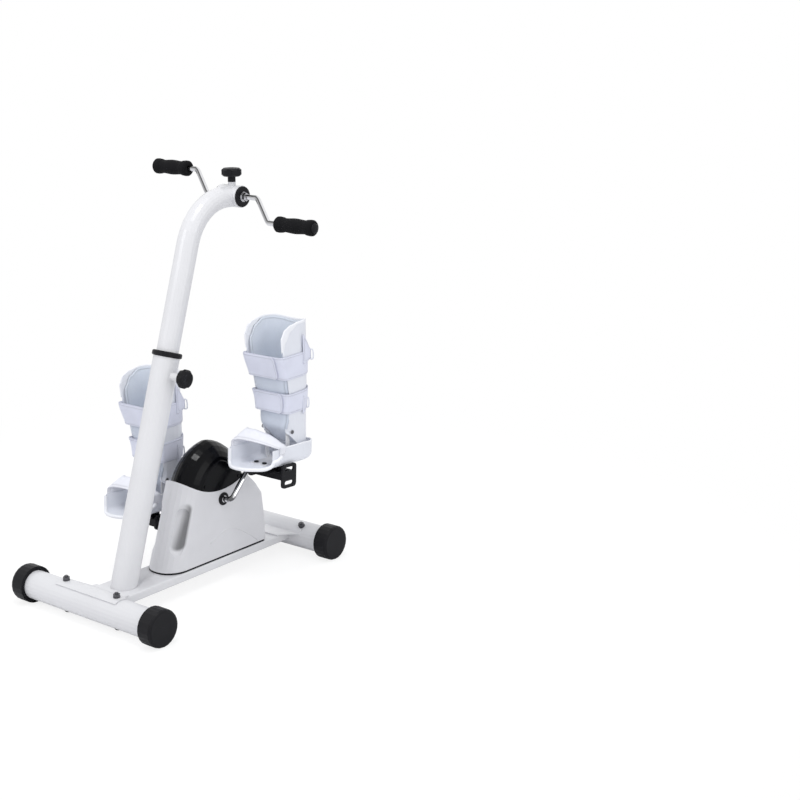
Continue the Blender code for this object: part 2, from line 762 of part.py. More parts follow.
def mast_path(low):
    """The mast's axis: up the column, over the bend and level to the hub."""
    hub = hub_centre()
    centre = (hub.y - HUB_OVERHANG, HUB_HEIGHT - MAST_BEND)
    bend = arc(centre, MAST_BEND, 180 - COLUMN_TILT, 90, 8)
    path = [COLUMN_FOOT + COLUMN_DIRECTION * low]
    path += [Vector((0, y, z)) for y, z in bend]
    return path, hub


def mast_tube(material):
    """The gooseneck with its cross hub, bored for the hand crank and the brake screw."""
    low = COLUMN_LENGTH - MAST_INSERTION
    path, hub = mast_path(low)
    mast = rod("mast_tube", [*path, hub], MAST_RADIUS, material, resolution=9)
    sleeve = drum("hub_sleeve", HUB_RADIUS, 2 * HUB_HALF_LENGTH, hub, rotation=ALONG_X, sides=28)
    combine(mast, sleeve, "UNION")
    boss_height = HUB_RADIUS / 2 + HUB_BOSS_HEIGHT
    boss = drum(
        "hub_boss", HUB_BOSS_RADIUS, boss_height,
        hub + Vector((0, 0, HUB_RADIUS + HUB_BOSS_HEIGHT - boss_height / 2)), sides=24,
    )
    combine(mast, boss, "UNION")
    start = COLUMN_FOOT + COLUMN_DIRECTION * (low - MAST_RADIUS)
    hollow = rod("mast_hollow", [start, *path[1:], hub], MAST_RADIUS - MAST_WALL, None, resolution=4)
    combine(mast, hollow)
    bore = drum("hub_bore", HUB_RADIUS - HUB_WALL, 4 * HUB_HALF_LENGTH, hub, rotation=ALONG_X, sides=24)
    combine(mast, bore)
    screw = drum(
        "tension_bore", TENSION_SCREW_RADIUS + SEAT, 2 * HUB_RADIUS,
        hub + Vector((0, 0, 1.2 * HUB_RADIUS)), sides=12,
    )
    return combine(mast, screw)


def hub_cap(name, side, hub, material):
    """The plastic bearing cap in one end of the hub."""
    bore = HAND_ROD_RADIUS + SEAT
    face = HUB_HALF_LENGTH + SEAT
    outer = face + HUB_CAP_THICKNESS
    spigot = HUB_RADIUS - HUB_WALL - SEAT
    inner = HUB_HALF_LENGTH - HUB_CAP_SPIGOT
    chamfer = HUB_CAP_THICKNESS / 3
    flange = HUB_RADIUS - chamfer
    profile = [
        (bore, outer), (flange - chamfer, outer), (flange, outer - chamfer), (flange, face),
        (spigot, face), (spigot, inner), (bore, inner),
    ]
    if side < 0:
        profile = [(radius, -height) for radius, height in reversed(profile)]
    return turned(name, profile, material, hub, ALONG_X, sides=20)


def lobed_knob(name, radius, thickness, stem_radius, stem, screw_radius, screw, material):
    """A star knob along its own Z: screw from 0 down, then the stem, then the lobed head."""
    head_low = stem + SEAT
    high = stem + thickness
    profile = (
        (0, high - 0.003), (radius * 0.55, high), (radius * 0.8, high), (radius, high - 0.004),
        (radius, head_low + 0.004), (radius * 0.8, head_low), (stem_radius, head_low - SEAT),
        (stem_radius, 0), (screw_radius, 0), (screw_radius, -screw), (0, -screw),
    )
    knob = turned(name, profile, material, sides=30)
    scallop = radius * KNOB_LOBE_DEPTH
    for i in range(KNOB_LOBES):
        angle = math.tau * i / KNOB_LOBES
        notch = radius * 0.42
        distance = radius + notch - scallop * 1.6
        cutter = drum(
            f"{name}_notch_{i}", notch, 3 * thickness,
            (distance * math.cos(angle), distance * math.sin(angle), stem + thickness / 2), sides=12,
        )
        cutter.parent = knob
        combine(knob, cutter)
    return knob


def clamp_knob(material):
    """The knob that locks the mast's height, its screw through the boss to the mast."""
    place = COLUMN_FOOT + COLUMN_DIRECTION * CLAMP_DISTANCE
    stem_start = CLAMP_BOSS_END + SEAT
    knob = lobed_knob(
        "clamp_knob", CLAMP_KNOB_RADIUS, CLAMP_KNOB_THICKNESS, CLAMP_BOSS_RADIUS,
        CLAMP_STEM_LENGTH, CLAMP_SCREW_RADIUS, stem_start - MAST_RADIUS - SEAT, material,
    )
    knob.location = place + Vector((stem_start, 0, 0))
    knob.rotation_euler = ALONG_X
    return knob


def tension_knob(hub, material):
    """The knob on top of the hub, its screw down to the brake shoe."""
    stem_start = HUB_RADIUS + HUB_BOSS_HEIGHT + SEAT
    shoe_top = HAND_ROD_RADIUS + BRAKE_SHOE_HEIGHT + SEAT
    knob = lobed_knob(
        "tension_knob", TENSION_KNOB_RADIUS, TENSION_KNOB_THICKNESS, TENSION_STEM_RADIUS,
        TENSION_STEM_HEIGHT, TENSION_SCREW_RADIUS, stem_start - shoe_top - SEAT, material,
    )
    knob.location = hub + Vector((0, 0, stem_start))
    return knob


def brake_shoe(hub, material):
    """The block that the tension screw presses on the hand crank's axle."""
    low = HAND_ROD_RADIUS / 2
    high = HAND_ROD_RADIUS + BRAKE_SHOE_HEIGHT
    shoe = box(
        "brake_shoe", (BRAKE_SHOE_LENGTH, BRAKE_SHOE_WIDTH, high - low),
        hub + Vector((0, 0, (high + low) / 2)), material,
    )
    saddle_cut = drum(
        "shoe_cut", HAND_ROD_RADIUS + SEAT, 2 * BRAKE_SHOE_LENGTH, hub, rotation=ALONG_X, sides=24
    )
    return combine(shoe, saddle_cut)


# Hand crank


def arm_axle(hub, steel):
    """The spindle through the hub, with a nut and washer outside each cap."""
    cap = HUB_HALF_LENGTH + SEAT + HUB_CAP_THICKNESS + SEAT
    end = cap + WASHER_THICKNESS + HAND_NUT_WIDTH
    washer = cap + WASHER_THICKNESS
    right = [
        (HAND_ROD_RADIUS, end), (HAND_ROD_RADIUS, washer), (HAND_NUT_RADIUS + 0.0015, washer),
        (HAND_NUT_RADIUS + 0.0015, cap), (HAND_ROD_RADIUS, cap),
    ]
    left = [(radius, -height) for radius, height in reversed(right)]
    profile = [(0, end), *right, *left, (0, -end)]
    axle = turned("arm_axle", profile, steel, hub, ALONG_X, sides=24)
    for side in (1, -1):
        nut = slab(
            f"arm_nut_{side}", (hexagon(HAND_NUT_RADIUS),), HAND_NUT_WIDTH, None,
            hub + Vector((side * (end - HAND_NUT_WIDTH / 2), 0, 0)), ALONG_X,
        )
        combine(axle, nut, "UNION")
    return axle, end


def hand_arm(name, side, start, hub, steel):
    """One bent rod of the hand crank, ending in the bolt that keeps the grip on."""
    angle = math.radians(HAND_CRANK_ANGLE + (0 if side > 0 else 180))
    off = Vector((0, math.cos(angle), math.sin(angle))) * HAND_CRANK_RADIUS
    grip_end = GRIP_START + GRIP_LENGTH
    corners = (
        Vector((side * (start + SEAT), 0, 0)),
        Vector((side * HAND_STUB_END, 0, 0)),
        Vector((side * HAND_ARM_OUT, 0, 0)) + off,
        Vector((side * (grip_end + SEAT), 0, 0)) + off,
    )
    arm = rod(name, [hub + p for p in bent(corners, HAND_BEND)], HAND_ROD_RADIUS, steel)
    head = drum(
        name + "_bolt", HAND_NUT_RADIUS, 0.003,
        hub + off + Vector((side * (grip_end + SEAT + 0.0015), 0, 0)), rotation=ALONG_X, sides=24,
    )
    combine(arm, head, "UNION")
    return arm, hub + off


def hand_grip(name, side, axis, material):
    """A grip with a slim waist and full ends."""
    bore = HAND_ROD_RADIUS + RUNNING
    outer = []
    for i in range(13):
        share = i / 12
        swell = abs(2 * share - 1) ** 2.5
        radius = GRIP_WAIST_RADIUS + (GRIP_END_RADIUS - GRIP_WAIST_RADIUS) * swell
        rounding = 0.004 * max(0, abs(2 * share - 1) * 8 - 7) ** 2
        outer.append((radius - rounding, GRIP_START + GRIP_LENGTH * (1 - share)))
    profile = [(bore, GRIP_START + GRIP_LENGTH), *outer, (bore, GRIP_START)]
    if side < 0:
        profile = [(radius, -height) for radius, height in reversed(profile)]
    return turned(name, profile, material, (0, axis.y, axis.z), ALONG_X, sides=18)


def upper_works(white, black, steel, grip):
    """Everything that rides up and down with the mast."""
    axis = axis_empty("mast_axis", COLUMN_FOOT + COLUMN_DIRECTION * COLUMN_LENGTH)
    hub = hub_centre()
    carried(mast_tube(white), axis)
    for side_name, side in SIDES.items():
        carried(hub_cap(f"hub_cap_{side_name}", side, hub, black), axis)
    carried(brake_shoe(hub, grip), axis)
    carried(tension_knob(hub, black), axis)
    crank = axis_empty("arm_crank_axis", hub)
    axle, end = arm_axle(hub, steel)
    carried(axle, crank)
    for side_name, side in SIDES.items():
        arm, place = hand_arm(f"{side_name}_hand_arm", side, end, hub, steel)
        carried(arm, crank)
        grip_axis = axis_empty(f"{side_name}_grip_axis", (0, place.y, place.z))
        carried(hand_grip(f"{side_name}_grip", side, place, grip), grip_axis)
        carried(grip_axis, crank)
    carried(crank, axis)


# Drive unit


def housing_outline():
    """The shroud's side view from the crank axis, anticlockwise with +Y to the right."""
    floor = TRAY_THICKNESS + SEAT - CRANK_RISE
    return [
        (-HOUSING_FRONT, floor), (HOUSING_REAR, floor),
        *HOUSING_SLOPE, (-HOUSING_TOP_FRONT, HOUSING_TOP),
    ]


def guard_keep_outline():
    """The side view that the guard stays inside: the shroud's own, opened upwards at the rear."""
    lower = housing_outline()[:5]
    top = 1.6 * GUARD_RADIUS
    front_low, front_high = housing_outline()[0], housing_outline()[-1]
    slope = (front_high[0] - front_low[0]) / (front_high[1] - front_low[1])
    return lower + [RIM_REAR, (RIM_REAR[0], top), (front_high[0] + slope * (top - front_high[1]), top)]


def housing_body(name, side, outline, shrink, start, material=None):
    """The form between start and the side, from an outline moved inwards by shrink."""
    outer = HOUSING_HALF_WIDTH - shrink
    outline = inset(outline, shrink)
    if shrink > 0:
        outline[0] = (outline[0][0], outline[0][1] - 3 * shrink)
        outline[1] = (outline[1][0], outline[1][1] - 3 * shrink)
    shape = bmesh.new()
    base = [shape.verts.new((side * start, y, z)) for y, z in outline]
    face = shape.faces.new(base)
    pushed = bmesh.ops.extrude_face_region(shape, geom=[face])["geom"]
    moved = [item for item in pushed if isinstance(item, bmesh.types.BMVert)]
    bmesh.ops.translate(shape, vec=(side * (outer - start), 0, 0), verts=moved)
    bmesh.ops.recalc_face_normals(shape, faces=shape.faces)
    round_housing(shape, side * outer, outline, shrink)
    return mesh_object(name, shape, material, CRANK_CENTRE)


def round_housing(shape, outer, outline, shrink):
    """Rounds the nose wide and the rest of the outer edge narrow."""
    nose_low, nose_high = outline[0], outline[-1]
    nose = []
    rest = []
    for edge in shape.edges:
        ends = [vert.co for vert in edge.verts]
        if any(abs(end.x - outer) > 0.0001 for end in ends):
            continue
        low, high = sorted(ends, key=lambda end: end.z)
        is_nose = abs(low.y - nose_low[0]) < 0.0001 and abs(high.y - nose_high[0]) < 0.0001
        if is_nose:
            nose.append(edge)
        elif max(low.y, high.y) > 0.05 and high.z < 0.06:
            rest.append(edge)
    floor = min(z for y, z in outline)
    rest = [edge for edge in rest if any(vert.co.z > floor + 0.0001 for vert in edge.verts)]
    bmesh.ops.bevel(
        shape, geom=nose, offset=HOUSING_NOSE - shrink, offset_type="OFFSET", segments=6,
        profile=0.5, affect="EDGES", clamp_overlap=True, material=-1,
    )
    bmesh.ops.bevel(
        shape, geom=rest, offset=HOUSING_EDGE - shrink, offset_type="OFFSET", segments=3,
        profile=0.5, affect="EDGES", clamp_overlap=True, material=-1,
    )


def pocket(name, side, grow):
    """The oblong recess on a front corner, as a leaning capsule."""
    radius = POCKET_RADIUS + grow
    half = POCKET_LENGTH / 2
    cap = arc((0, half), radius, 90, 0, 5)
    profile = [(x, z) for x, z in cap] + [(x, -z) for x, z in reversed(cap)]
    profile[0] = (0, profile[0][1])
    profile[-1] = (0, profile[-1][1])
    x, y, z = POCKET_CENTRE
    centre = CRANK_CENTRE + Vector((side * x, y, z))
    return turned(name, profile, None, centre, (-TILT, 0, 0), sides=18)


def housing_half(side_name, side, material):
    """One moulded half of the shroud: an open shell with its rim, pocket and axle hole."""
    name = f"housing_{side_name}"
    half = housing_body(name, side, housing_outline(), 0, HOUSING_SPLIT, material)
    cavity = housing_body(name + "_cavity", side, housing_outline(), HOUSING_WALL, -HOUSING_HALF_WIDTH / 2)
    combine(cavity, pocket(name + "_pocket_wall", side, HOUSING_WALL))
    combine(half, cavity)
    combine(half, pocket(name + "_pocket", side, 0))
    rim = drum(
        name + "_rim", RIM_RADIUS, 4 * HOUSING_HALF_WIDTH,
        CRANK_CENTRE + Vector((0, *RIM_CENTRE)), rotation=ALONG_X, sides=84,
    )
    combine(half, rim)
    hole = drum(
        name + "_axle_hole", BUSH_RADIUS + SEAT, HOUSING_HALF_WIDTH,
        CRANK_CENTRE + Vector((side * HOUSING_HALF_WIDTH, 0, 0)), rotation=ALONG_X, sides=32,
    )
    return combine(half, hole)


def housing_tray(material):
    """The plastic tray under the shroud, with a window for the bracket's foot."""
    front = CRANK_CENTRE.y - HOUSING_FRONT
    rear = CRANK_CENTRE.y + HOUSING_REAR
    length = rear - front
    middle = (front + rear) / 2
    half = HOUSING_HALF_WIDTH
    outline = [(-half + HOUSING_EDGE, length / 2), (-half, length / 2 - HOUSING_EDGE)]
    outline += arc((-half + HOUSING_NOSE, -length / 2 + HOUSING_NOSE), HOUSING_NOSE, 180, 270, 6)
    outline += [(-x, y) for x, y in reversed(outline)]
    foot = bracket_foot()
    window = [
        (x * (BRACKET_HALF_WIDTH + 0.002), y + CRANK_CENTRE.y - middle)
        for x, y in ((-1, foot[0] - 0.002), (1, foot[0] - 0.002), (1, foot[1] + 0.002), (-1, foot[1] + 0.002))
    ]
    height = TRAY_THICKNESS - SEAT
    return slab(
        "housing_tray", (outline, window), height, material,
        (0, middle, BEAM_TOP + SEAT + height / 2),
    )


def guard_profile(radius, half_width, steps):
    """The guard's profile about the X axis: flat sides, a crease and an arched crown, from +X to -X."""
    rise = GUARD_CROWN_RISE
    root = radius - rise
    width = half_width - GUARD_CREST
    power = 2 / GUARD_FULLNESS
    crown = [
        (root + rise * height ** power, GUARD_CREST + width * across ** power)
        for across, height in arc((0, 0), 1, 0, 90, steps)
    ]
    crease = [(root - GUARD_CREASE, half_width), (root, half_width - GUARD_CREASE)]
    top = [(0, half_width), *crease, *crown[1:]]
    return top + [(r, -x) for r, x in reversed(top)]


def guard_form(name, radius, half_width, steps, shrink, material=None):
    """The guard's form: a round drum, cut lower behind its top and narrowed to the shroud's nose."""
    centre = CRANK_CENTRE + Vector((0, *GUARD_CENTRE))
    profile = guard_profile(radius, half_width, steps)
    form = turned(name, profile, material, centre, ALONG_X, 56)
    rear_centre = centre - Vector((0, GUARD_REAR_SHIFT, 0))
    rear_profile = guard_profile(radius, half_width + SEAT, steps)
    rear = turned(name + "_rear", rear_profile, None, rear_centre, ALONG_X, 54)
    combine(form, rear, "INTERSECT")
    for side in (1, -1):
        keep = housing_body(f"{name}_keep_{side}", side, guard_keep_outline(), shrink, -HOUSING_HALF_WIDTH)
        combine(form, keep, "INTERSECT")
    return form


def flywheel_guard(material):
    """The glossy cover that stands out of the shroud, open below."""
    inside = HOUSING_WALL + 2 * SEAT
    wall = HOUSING_WALL
    half = HOUSING_HALF_WIDTH - inside
    guard = guard_form("flywheel_guard", GUARD_RADIUS, half, 5, inside, material)
    hollow = guard_form("guard_hollow", GUARD_RADIUS - wall, half - wall, 3, inside + wall)
    centre = CRANK_CENTRE + Vector((0, *GUARD_CENTRE))
    combine(guard, hollow)
    lowest = CRANK_CENTRE.z + RIM_CENTRE[1] - RIM_RADIUS - GUARD_DEPTH
    size = 3 * GUARD_RADIUS
    below = box("guard_below", (size, size, size), (0, centre.y, lowest - size / 2))
    combine(guard, below)
    depth = wall / 2 + GUARD_SCREW_HEIGHT
    for side in (1, -1):
        for i, (y, z) in enumerate(GUARD_SCREWS):
            place = CRANK_CENTRE + Vector((side * (half + GUARD_SCREW_HEIGHT - depth / 2), y, z))
            screw = drum(
                f"guard_screw_{side}_{i}", GUARD_SCREW_RADIUS, depth, place, rotation=ALONG_X, sides=12
            )
            combine(guard, screw, "UNION")
    return guard


def bracket_foot():
    """The bracket's foot from and to, along Y from the crank axis."""
    return (-0.105, 0.075)


def drive_bracket(material):
    """The folded steel bracket on the beam that carries both axles."""
    front, rear = bracket_foot()
    low = -CRANK_RISE + SEAT
    web = 0.018
    fly_y, fly_z = FLYWHEEL_CENTRE
    outline = [
        (front, low), (rear, low), (rear, low + 0.02), (web, web), (-web, web),
        (fly_y - web, fly_z + web), (front, low + 0.03),
    ]
    width = 2 * BRACKET_HALF_WIDTH
    bracket = slab("drive_bracket", (outline,), width, material, CRANK_CENTRE, SIDEWAYS)
    inside = box(
        "bracket_inside", (width - 2 * BRACKET_WALL, 0.5, 0.4),
        CRANK_CENTRE + Vector((0, 0, low + BRACKET_WALL + 0.2)),
    )
    combine(bracket, inside)
    for name, radius, (y, z) in (
        ("bush", BUSH_RADIUS + SEAT, (0, 0)),
        ("axle", FLYWHEEL_AXLE_RADIUS + SEAT, FLYWHEEL_CENTRE),
    ):
        hole = drum(
            f"bracket_{name}_hole", radius, 2 * width, CRANK_CENTRE + Vector((0, y, z)),
            rotation=ALONG_X, sides=16,
        )
        combine(bracket, hole)
    return bracket


def crank_bush(name, side, material):
    """The flanged bush that carries the crank axle in the bracket and the shroud."""
    bore = CRANK_AXLE_RADIUS + SEAT
    inner = BRACKET_HALF_WIDTH - BRACKET_WALL
    face = HOUSING_HALF_WIDTH + SEAT
    outer = face + BUSH_FLANGE
    profile = [
        (bore, outer), (BUSH_FLANGE_RADIUS - 0.001, outer), (BUSH_FLANGE_RADIUS, outer - 0.001),
        (BUSH_FLANGE_RADIUS, face), (BUSH_RADIUS, face), (BUSH_RADIUS, inner), (bore, inner),
    ]
    if side < 0:
        profile = [(radius, -height) for radius, height in reversed(profile)]
    return turned(name, profile, material, CRANK_CENTRE, ALONG_X, sides=20)


def flywheel_axle(material):
    """The fixed pin that the flywheel turns on."""
    y, z = FLYWHEEL_CENTRE
    half = BRACKET_HALF_WIDTH + 0.006
    head = 0.004
    profile = [
        (0, half), (FLYWHEEL_AXLE_RADIUS + 0.003, half), (FLYWHEEL_AXLE_RADIUS + 0.003, half - head),
        (FLYWHEEL_AXLE_RADIUS, half - head), (FLYWHEEL_AXLE_RADIUS, head - half),
        (FLYWHEEL_AXLE_RADIUS + 0.003, head - half), (FLYWHEEL_AXLE_RADIUS + 0.003, -half), (0, -half),
    ]
    return turned("flywheel_axle", profile, material, CRANK_CENTRE + Vector((0, y, z)), ALONG_X, sides=24)


def flywheel(material):
    """The heavy rim with its web, hub and belt pinion."""
    y, z = FLYWHEEL_CENTRE
    bore = FLYWHEEL_AXLE_RADIUS + SEAT
    right = FLYWHEEL_X + FLYWHEEL_WIDTH / 2
    left = FLYWHEEL_X - FLYWHEEL_WIDTH / 2
    web = FLYWHEEL_WIDTH / 4
    rim = FLYWHEEL_RADIUS - 0.014
    hub = 0.014
    pinion_end = PULLEY_X + PULLEY_WIDTH / 2
    pinion_start = PULLEY_X - PULLEY_WIDTH / 2
    tread = PINION_RADIUS - PULLEY_GROOVE
    profile = [
        (bore, pinion_end), (PINION_RADIUS, pinion_end), (tread, pinion_end - PULLEY_GROOVE),
        (tread, pinion_start + PULLEY_GROOVE), (PINION_RADIUS, pinion_start), (hub, pinion_start),
        (hub, FLYWHEEL_X + web), (rim, FLYWHEEL_X + web),
        (rim, right), (FLYWHEEL_RADIUS, right), (FLYWHEEL_RADIUS, left), (rim, left),
        (rim, FLYWHEEL_X - web), (hub, FLYWHEEL_X - web), (hub, -pinion_end), (bore, -pinion_end),
    ]
    return turned("flywheel", profile, material, CRANK_CENTRE + Vector((0, y, z)), ALONG_X, sides=24)


def drive_pulley(material):
    """The large belt pulley on the crank axle."""
    bore = CRANK_AXLE_RADIUS + SEAT
    right = PULLEY_X + PULLEY_WIDTH / 2
    left = PULLEY_X - PULLEY_WIDTH / 2
    tread = PULLEY_RADIUS - PULLEY_GROOVE
    web = 0.002
    rim = PULLEY_RADIUS - 0.006
    hub = 0.018
    profile = [
        (bore, right), (hub, right), (hub, PULLEY_X + web), (rim, PULLEY_X + web), (rim, right),
        (PULLEY_RADIUS, right), (tread, right - PULLEY_GROOVE), (tread, left + PULLEY_GROOVE),
        (PULLEY_RADIUS, left), (rim, left),
        (rim, PULLEY_X - web), (hub, PULLEY_X - web), (hub, left), (bore, left),
    ]
    return turned("drive_pulley", profile, material, CRANK_CENTRE, ALONG_X, sides=28)


def belt_loop(gap):
    """The belt's outline about both pulleys, its face this far from their treads."""
    big = PULLEY_RADIUS - PULLEY_GROOVE + gap
    small = PINION_RADIUS - PULLEY_GROOVE + gap
    away = Vector(FLYWHEEL_CENTRE)
    heading = math.degrees(math.atan2(away.y, away.x))
    spread = math.degrees(math.acos((big - small) / away.length))
    outline = arc((0, 0), big, heading + spread, heading + 360 - spread, 22)
    return outline + arc(FLYWHEEL_CENTRE, small, heading - spread, heading + spread, 9)


def drive_belt(material):
    """The flat belt from the large pulley to the flywheel's pinion."""
    outlines = (belt_loop(2 * SEAT + BELT_THICKNESS), belt_loop(2 * SEAT))
    return slab(
        "drive_belt", outlines, BELT_WIDTH, material,
        CRANK_CENTRE + Vector((PULLEY_X, 0, 0)), SIDEWAYS,
    )


def pedal_centre(side):
    """Where a pedal's axis is at rest."""
    angle = math.radians(CRANK_ANGLE + (0 if side > 0 else 180))
    off = Vector((0, math.cos(angle), math.sin(angle))) * CRANK_RADIUS
    return CRANK_CENTRE + off


def crank_axle(material):
    """The axle through the drive unit, necked to its arms."""
    half = CRANK_AXLE_HALF_LENGTH
    return drum("crank_axle", CRANK_AXLE_RADIUS, 2 * half, CRANK_CENTRE, material, ALONG_X, sides=24)


def crank_arm(name, side, material):
    """One bent rod of the pedal crank, its outer end the pedal's spindle."""
    off = pedal_centre(side) - CRANK_CENTRE
    spindle_end = BOOT_OFFSET + PEDAL_OUTER_FACE - PEDAL_PLATE_THICKNESS
    corners = (
        Vector((side * (CRANK_AXLE_HALF_LENGTH + SEAT), 0, 0)),
        Vector((side * CRANK_ARM_OUT, 0, 0)),
        Vector((side * CRANK_ARM_OUT, 0, 0)) + off,
        Vector((side * spindle_end, 0, 0)) + off,
    )
    path = [CRANK_CENTRE + point for point in bent(corners, CRANK_BEND)]
    return rod(name, path, CRANK_ROD_RADIUS, material)


def drive_unit(white, black, gloss, steel, iron, rubber):
    """The shroud and all that is in it, and the crank."""
    for side_name, side in SIDES.items():
        housing_half(side_name, side, white)
        crank_bush(f"crank_bush_{side_name}", side, black)
    housing_tray(black)
    flywheel_guard(gloss)
    drive_bracket(iron)
    flywheel_axle(steel)
    drive_belt(rubber)
    fly = CRANK_CENTRE + Vector((0, *FLYWHEEL_CENTRE))
    carried(flywheel(iron), axis_empty("flywheel_spin_axis", fly))
    crank = axis_empty("crank_spin_axis", CRANK_CENTRE)
    carried(crank_axle(steel), crank)
    carried(drive_pulley(black), crank)
    for side_name, side in SIDES.items():
        carried(crank_arm(f"{side_name}_crank_arm", side, steel), crank)
    return crank


# Pedals and foot shells, in a frame on the pedal's axis with +X outwards on the left side


def pedal(side_name, side, material):
    """The pedal: barrel, two slotted end plates, treads, the block under the sole and its bolts."""
    name = f"{side_name}_pedal"
    height = PEDAL_PLATE_HEIGHT
    inner_end = PEDAL_INNER_FACE + PEDAL_PLATE_THICKNESS / 2
    outer_end = PEDAL_OUTER_FACE - PEDAL_PLATE_THICKNESS / 2
    opening = rounded_rectangle(PEDAL_SLOT_LENGTH, PEDAL_SLOT_HEIGHT, PEDAL_SLOT_HEIGHT / 2.2)
    slots = [[(y, z + up) for y, z in opening] for up in (-PEDAL_SLOT_RISE, PEDAL_SLOT_RISE)]
    plate = rounded_rectangle(PEDAL_PLATE_DEPTH, height, PEDAL_PLATE_CORNER)
    outer = slab(name, (plate, *slots), PEDAL_PLATE_THICKNESS, material, (side * outer_end, 0, 0), SIDEWAYS)
    pieces = []
    inner_plate = rounded_rectangle(PEDAL_INNER_DEPTH, PEDAL_INNER_HEIGHT, PEDAL_PLATE_CORNER)
    inner_place = (side * inner_end, 0, 0)
    pieces.append(slab(name + "_inner", (inner_plate,), PEDAL_PLATE_THICKNESS, None, inner_place, SIDEWAYS))
    span = outer_end - inner_end
    middle = side * (outer_end + inner_end) / 2
    barrel_place = (middle, 0, 0)
    pieces.append(
        drum(name + "_barrel", PEDAL_BARREL_RADIUS, span, barrel_place, rotation=ALONG_X, sides=24)
    )
    for i, along in enumerate((-1, 1)):
        y = along * (PEDAL_INNER_DEPTH / 2 - PEDAL_TREAD / 2 - PEDAL_TREAD_INSET)
        pieces.append(box(f"{name}_tread_{i}", (span, PEDAL_TREAD, PEDAL_TREAD_HEIGHT), (middle, y, 0)))
    block_top = SOLE_HEIGHT - SEAT
    block_low = PEDAL_BARREL_RADIUS - SADDLE_BLOCK_OVERLAP
    block_y = (SADDLE_BLOCK_LENGTH - PEDAL_PLATE_DEPTH) / 2
    pieces.append(box(
        name + "_block", (SADDLE_BLOCK_WIDTH, SADDLE_BLOCK_LENGTH, block_top - block_low),
        (0, -block_y - SADDLE_BLOCK_SETBACK, (block_top + block_low) / 2),
    ))
    floor = SOLE_HEIGHT + SHELL_WALL + SEAT + STIRRUP_THICKNESS + SEAT
    for i, across in enumerate((-1, 1)):
        bolt = turned(
            f"{name}_bolt_{i}",
            [
                (0, floor + 0.003), (SOLE_BOLT_HEAD - 0.001, floor + 0.003),
                (SOLE_BOLT_HEAD, floor + 0.002), (SOLE_BOLT_HEAD, floor),
                (SOLE_BOLT_RADIUS, floor), (SOLE_BOLT_RADIUS, block_low), (0, block_low),
            ],
            None, (across * SOLE_BOLT_OFFSET, SOLE_BOLT_SETBACK, 0), sides=12,
        )
        pieces.append(bolt)
    for piece in pieces:
        combine(outer, piece, "UNION")
    bore_length = span + PEDAL_PLATE_THICKNESS
    bore = drum(
        name + "_bore", CRANK_ROD_RADIUS + RUNNING, bore_length,
        (middle - side * (PEDAL_PLATE_THICKNESS - SEAT), 0, 0), rotation=ALONG_X, sides=24,
    )
    combine(outer, bore)
    return [outer, *pieces, bore]


def foot_half_width(along):
    """Half the foot shell's width, from the pedal axis along the sole."""
    if along > HEEL_START:
        share = (along - HEEL_START) / (HEEL_LENGTH - HEEL_START) * HEEL_CLOSURE
        return FOOT_HALF_WIDTH * math.sqrt(1 - share ** HEEL_FULLNESS)
    flare = max(0, (-TOE_FLARE_START - along) / (TOE_LENGTH - TOE_FLARE_START))
    return FOOT_HALF_WIDTH + TOE_FLARE * flare ** 2


def foot_ring(along, shrink, top):
    """The foot shell's section: a trough with round lower corners, closed above."""
    half = foot_half_width(along) - shrink
    floor = SOLE_HEIGHT + shrink
    corner = min(FOOT_CORNER - shrink, half * 0.8)
    left = arc((-half + corner, floor + corner), corner, 180, 270, 4)
    ring = [(-half, top), *left]
    ring += [(-x, z) for x, z in reversed(ring)]
    return [(x, along, z) for x, z in ring]


def foot_stations(start, end):
    """Places along the foot, closer together round the heel."""
    straight = [start + (HEEL_START - start) * i / 7 for i in range(8)]
    heel = [HEEL_START + (end - HEEL_START) * math.sin(math.pi / 2 * i / 7) for i in range(1, 8)]
    return straight + heel


def toe_edge(across):
    """How far forward the open toe reaches at a distance across the foot; it is longer inside."""
    from_tip = across - TOE_TIP
    if from_tip < 0:
        return -TOE_LENGTH + INNER_TOE_SWEEP * (from_tip / 0.040) ** 2
    return -TOE_LENGTH + OUTER_TOE_SWEEP * (from_tip / 0.070) ** 2.2


def foot_shell(side_name, material):
    """The open-toed trough that holds the foot."""
    name = f"{side_name}_foot_shell"
    clear = CUT_DEPTH / 2
    top = clear
    shell = loft(name, [foot_ring(u, 0, top) for u in foot_stations(-TOE_LENGTH, HEEL_LENGTH)], material)
    within = foot_stations(-TOE_LENGTH - FOOT_CORNER, HEEL_LENGTH - SHELL_WALL)
    hollow = loft(name + "_hollow", [foot_ring(u, SHELL_WALL, 2 * top) for u in within])
    steps = 16
    reach = FOOT_HALF_WIDTH + FOOT_CORNER
    across = [reach * (2 * i / steps - 1) for i in range(steps + 1)]
    edge = [(x, toe_edge(x)) for x in across]
    plan = [*edge, (reach, CUT_DEPTH), (-reach, CUT_DEPTH)]
    keep = slab(name + "_plan", (plan,), 2 * CUT_DEPTH, None)
    above = [*WALL_TOP, (WALL_TOP[-1][0], CUT_DEPTH), (WALL_TOP[0][0], CUT_DEPTH)]
    cut_top = slab(name + "_top", (above,), CUT_DEPTH, None, (0, 0, 0), SIDEWAYS)
    combine(shell, hollow)
    combine(shell, keep, "INTERSECT")
    combine(shell, cut_top)
    pieces = [shell, hollow, keep, cut_top]
    for i, across in enumerate((-1, 1)):
        hole = drum(
            f"{name}_hole_{i}", SOLE_BOLT_RADIUS + SEAT, 0.05,
            (across * SOLE_BOLT_OFFSET, SOLE_BOLT_SETBACK, SOLE_HEIGHT), sides=12,
        )
        combine(shell, hole)
        pieces.append(hole)
    return pieces


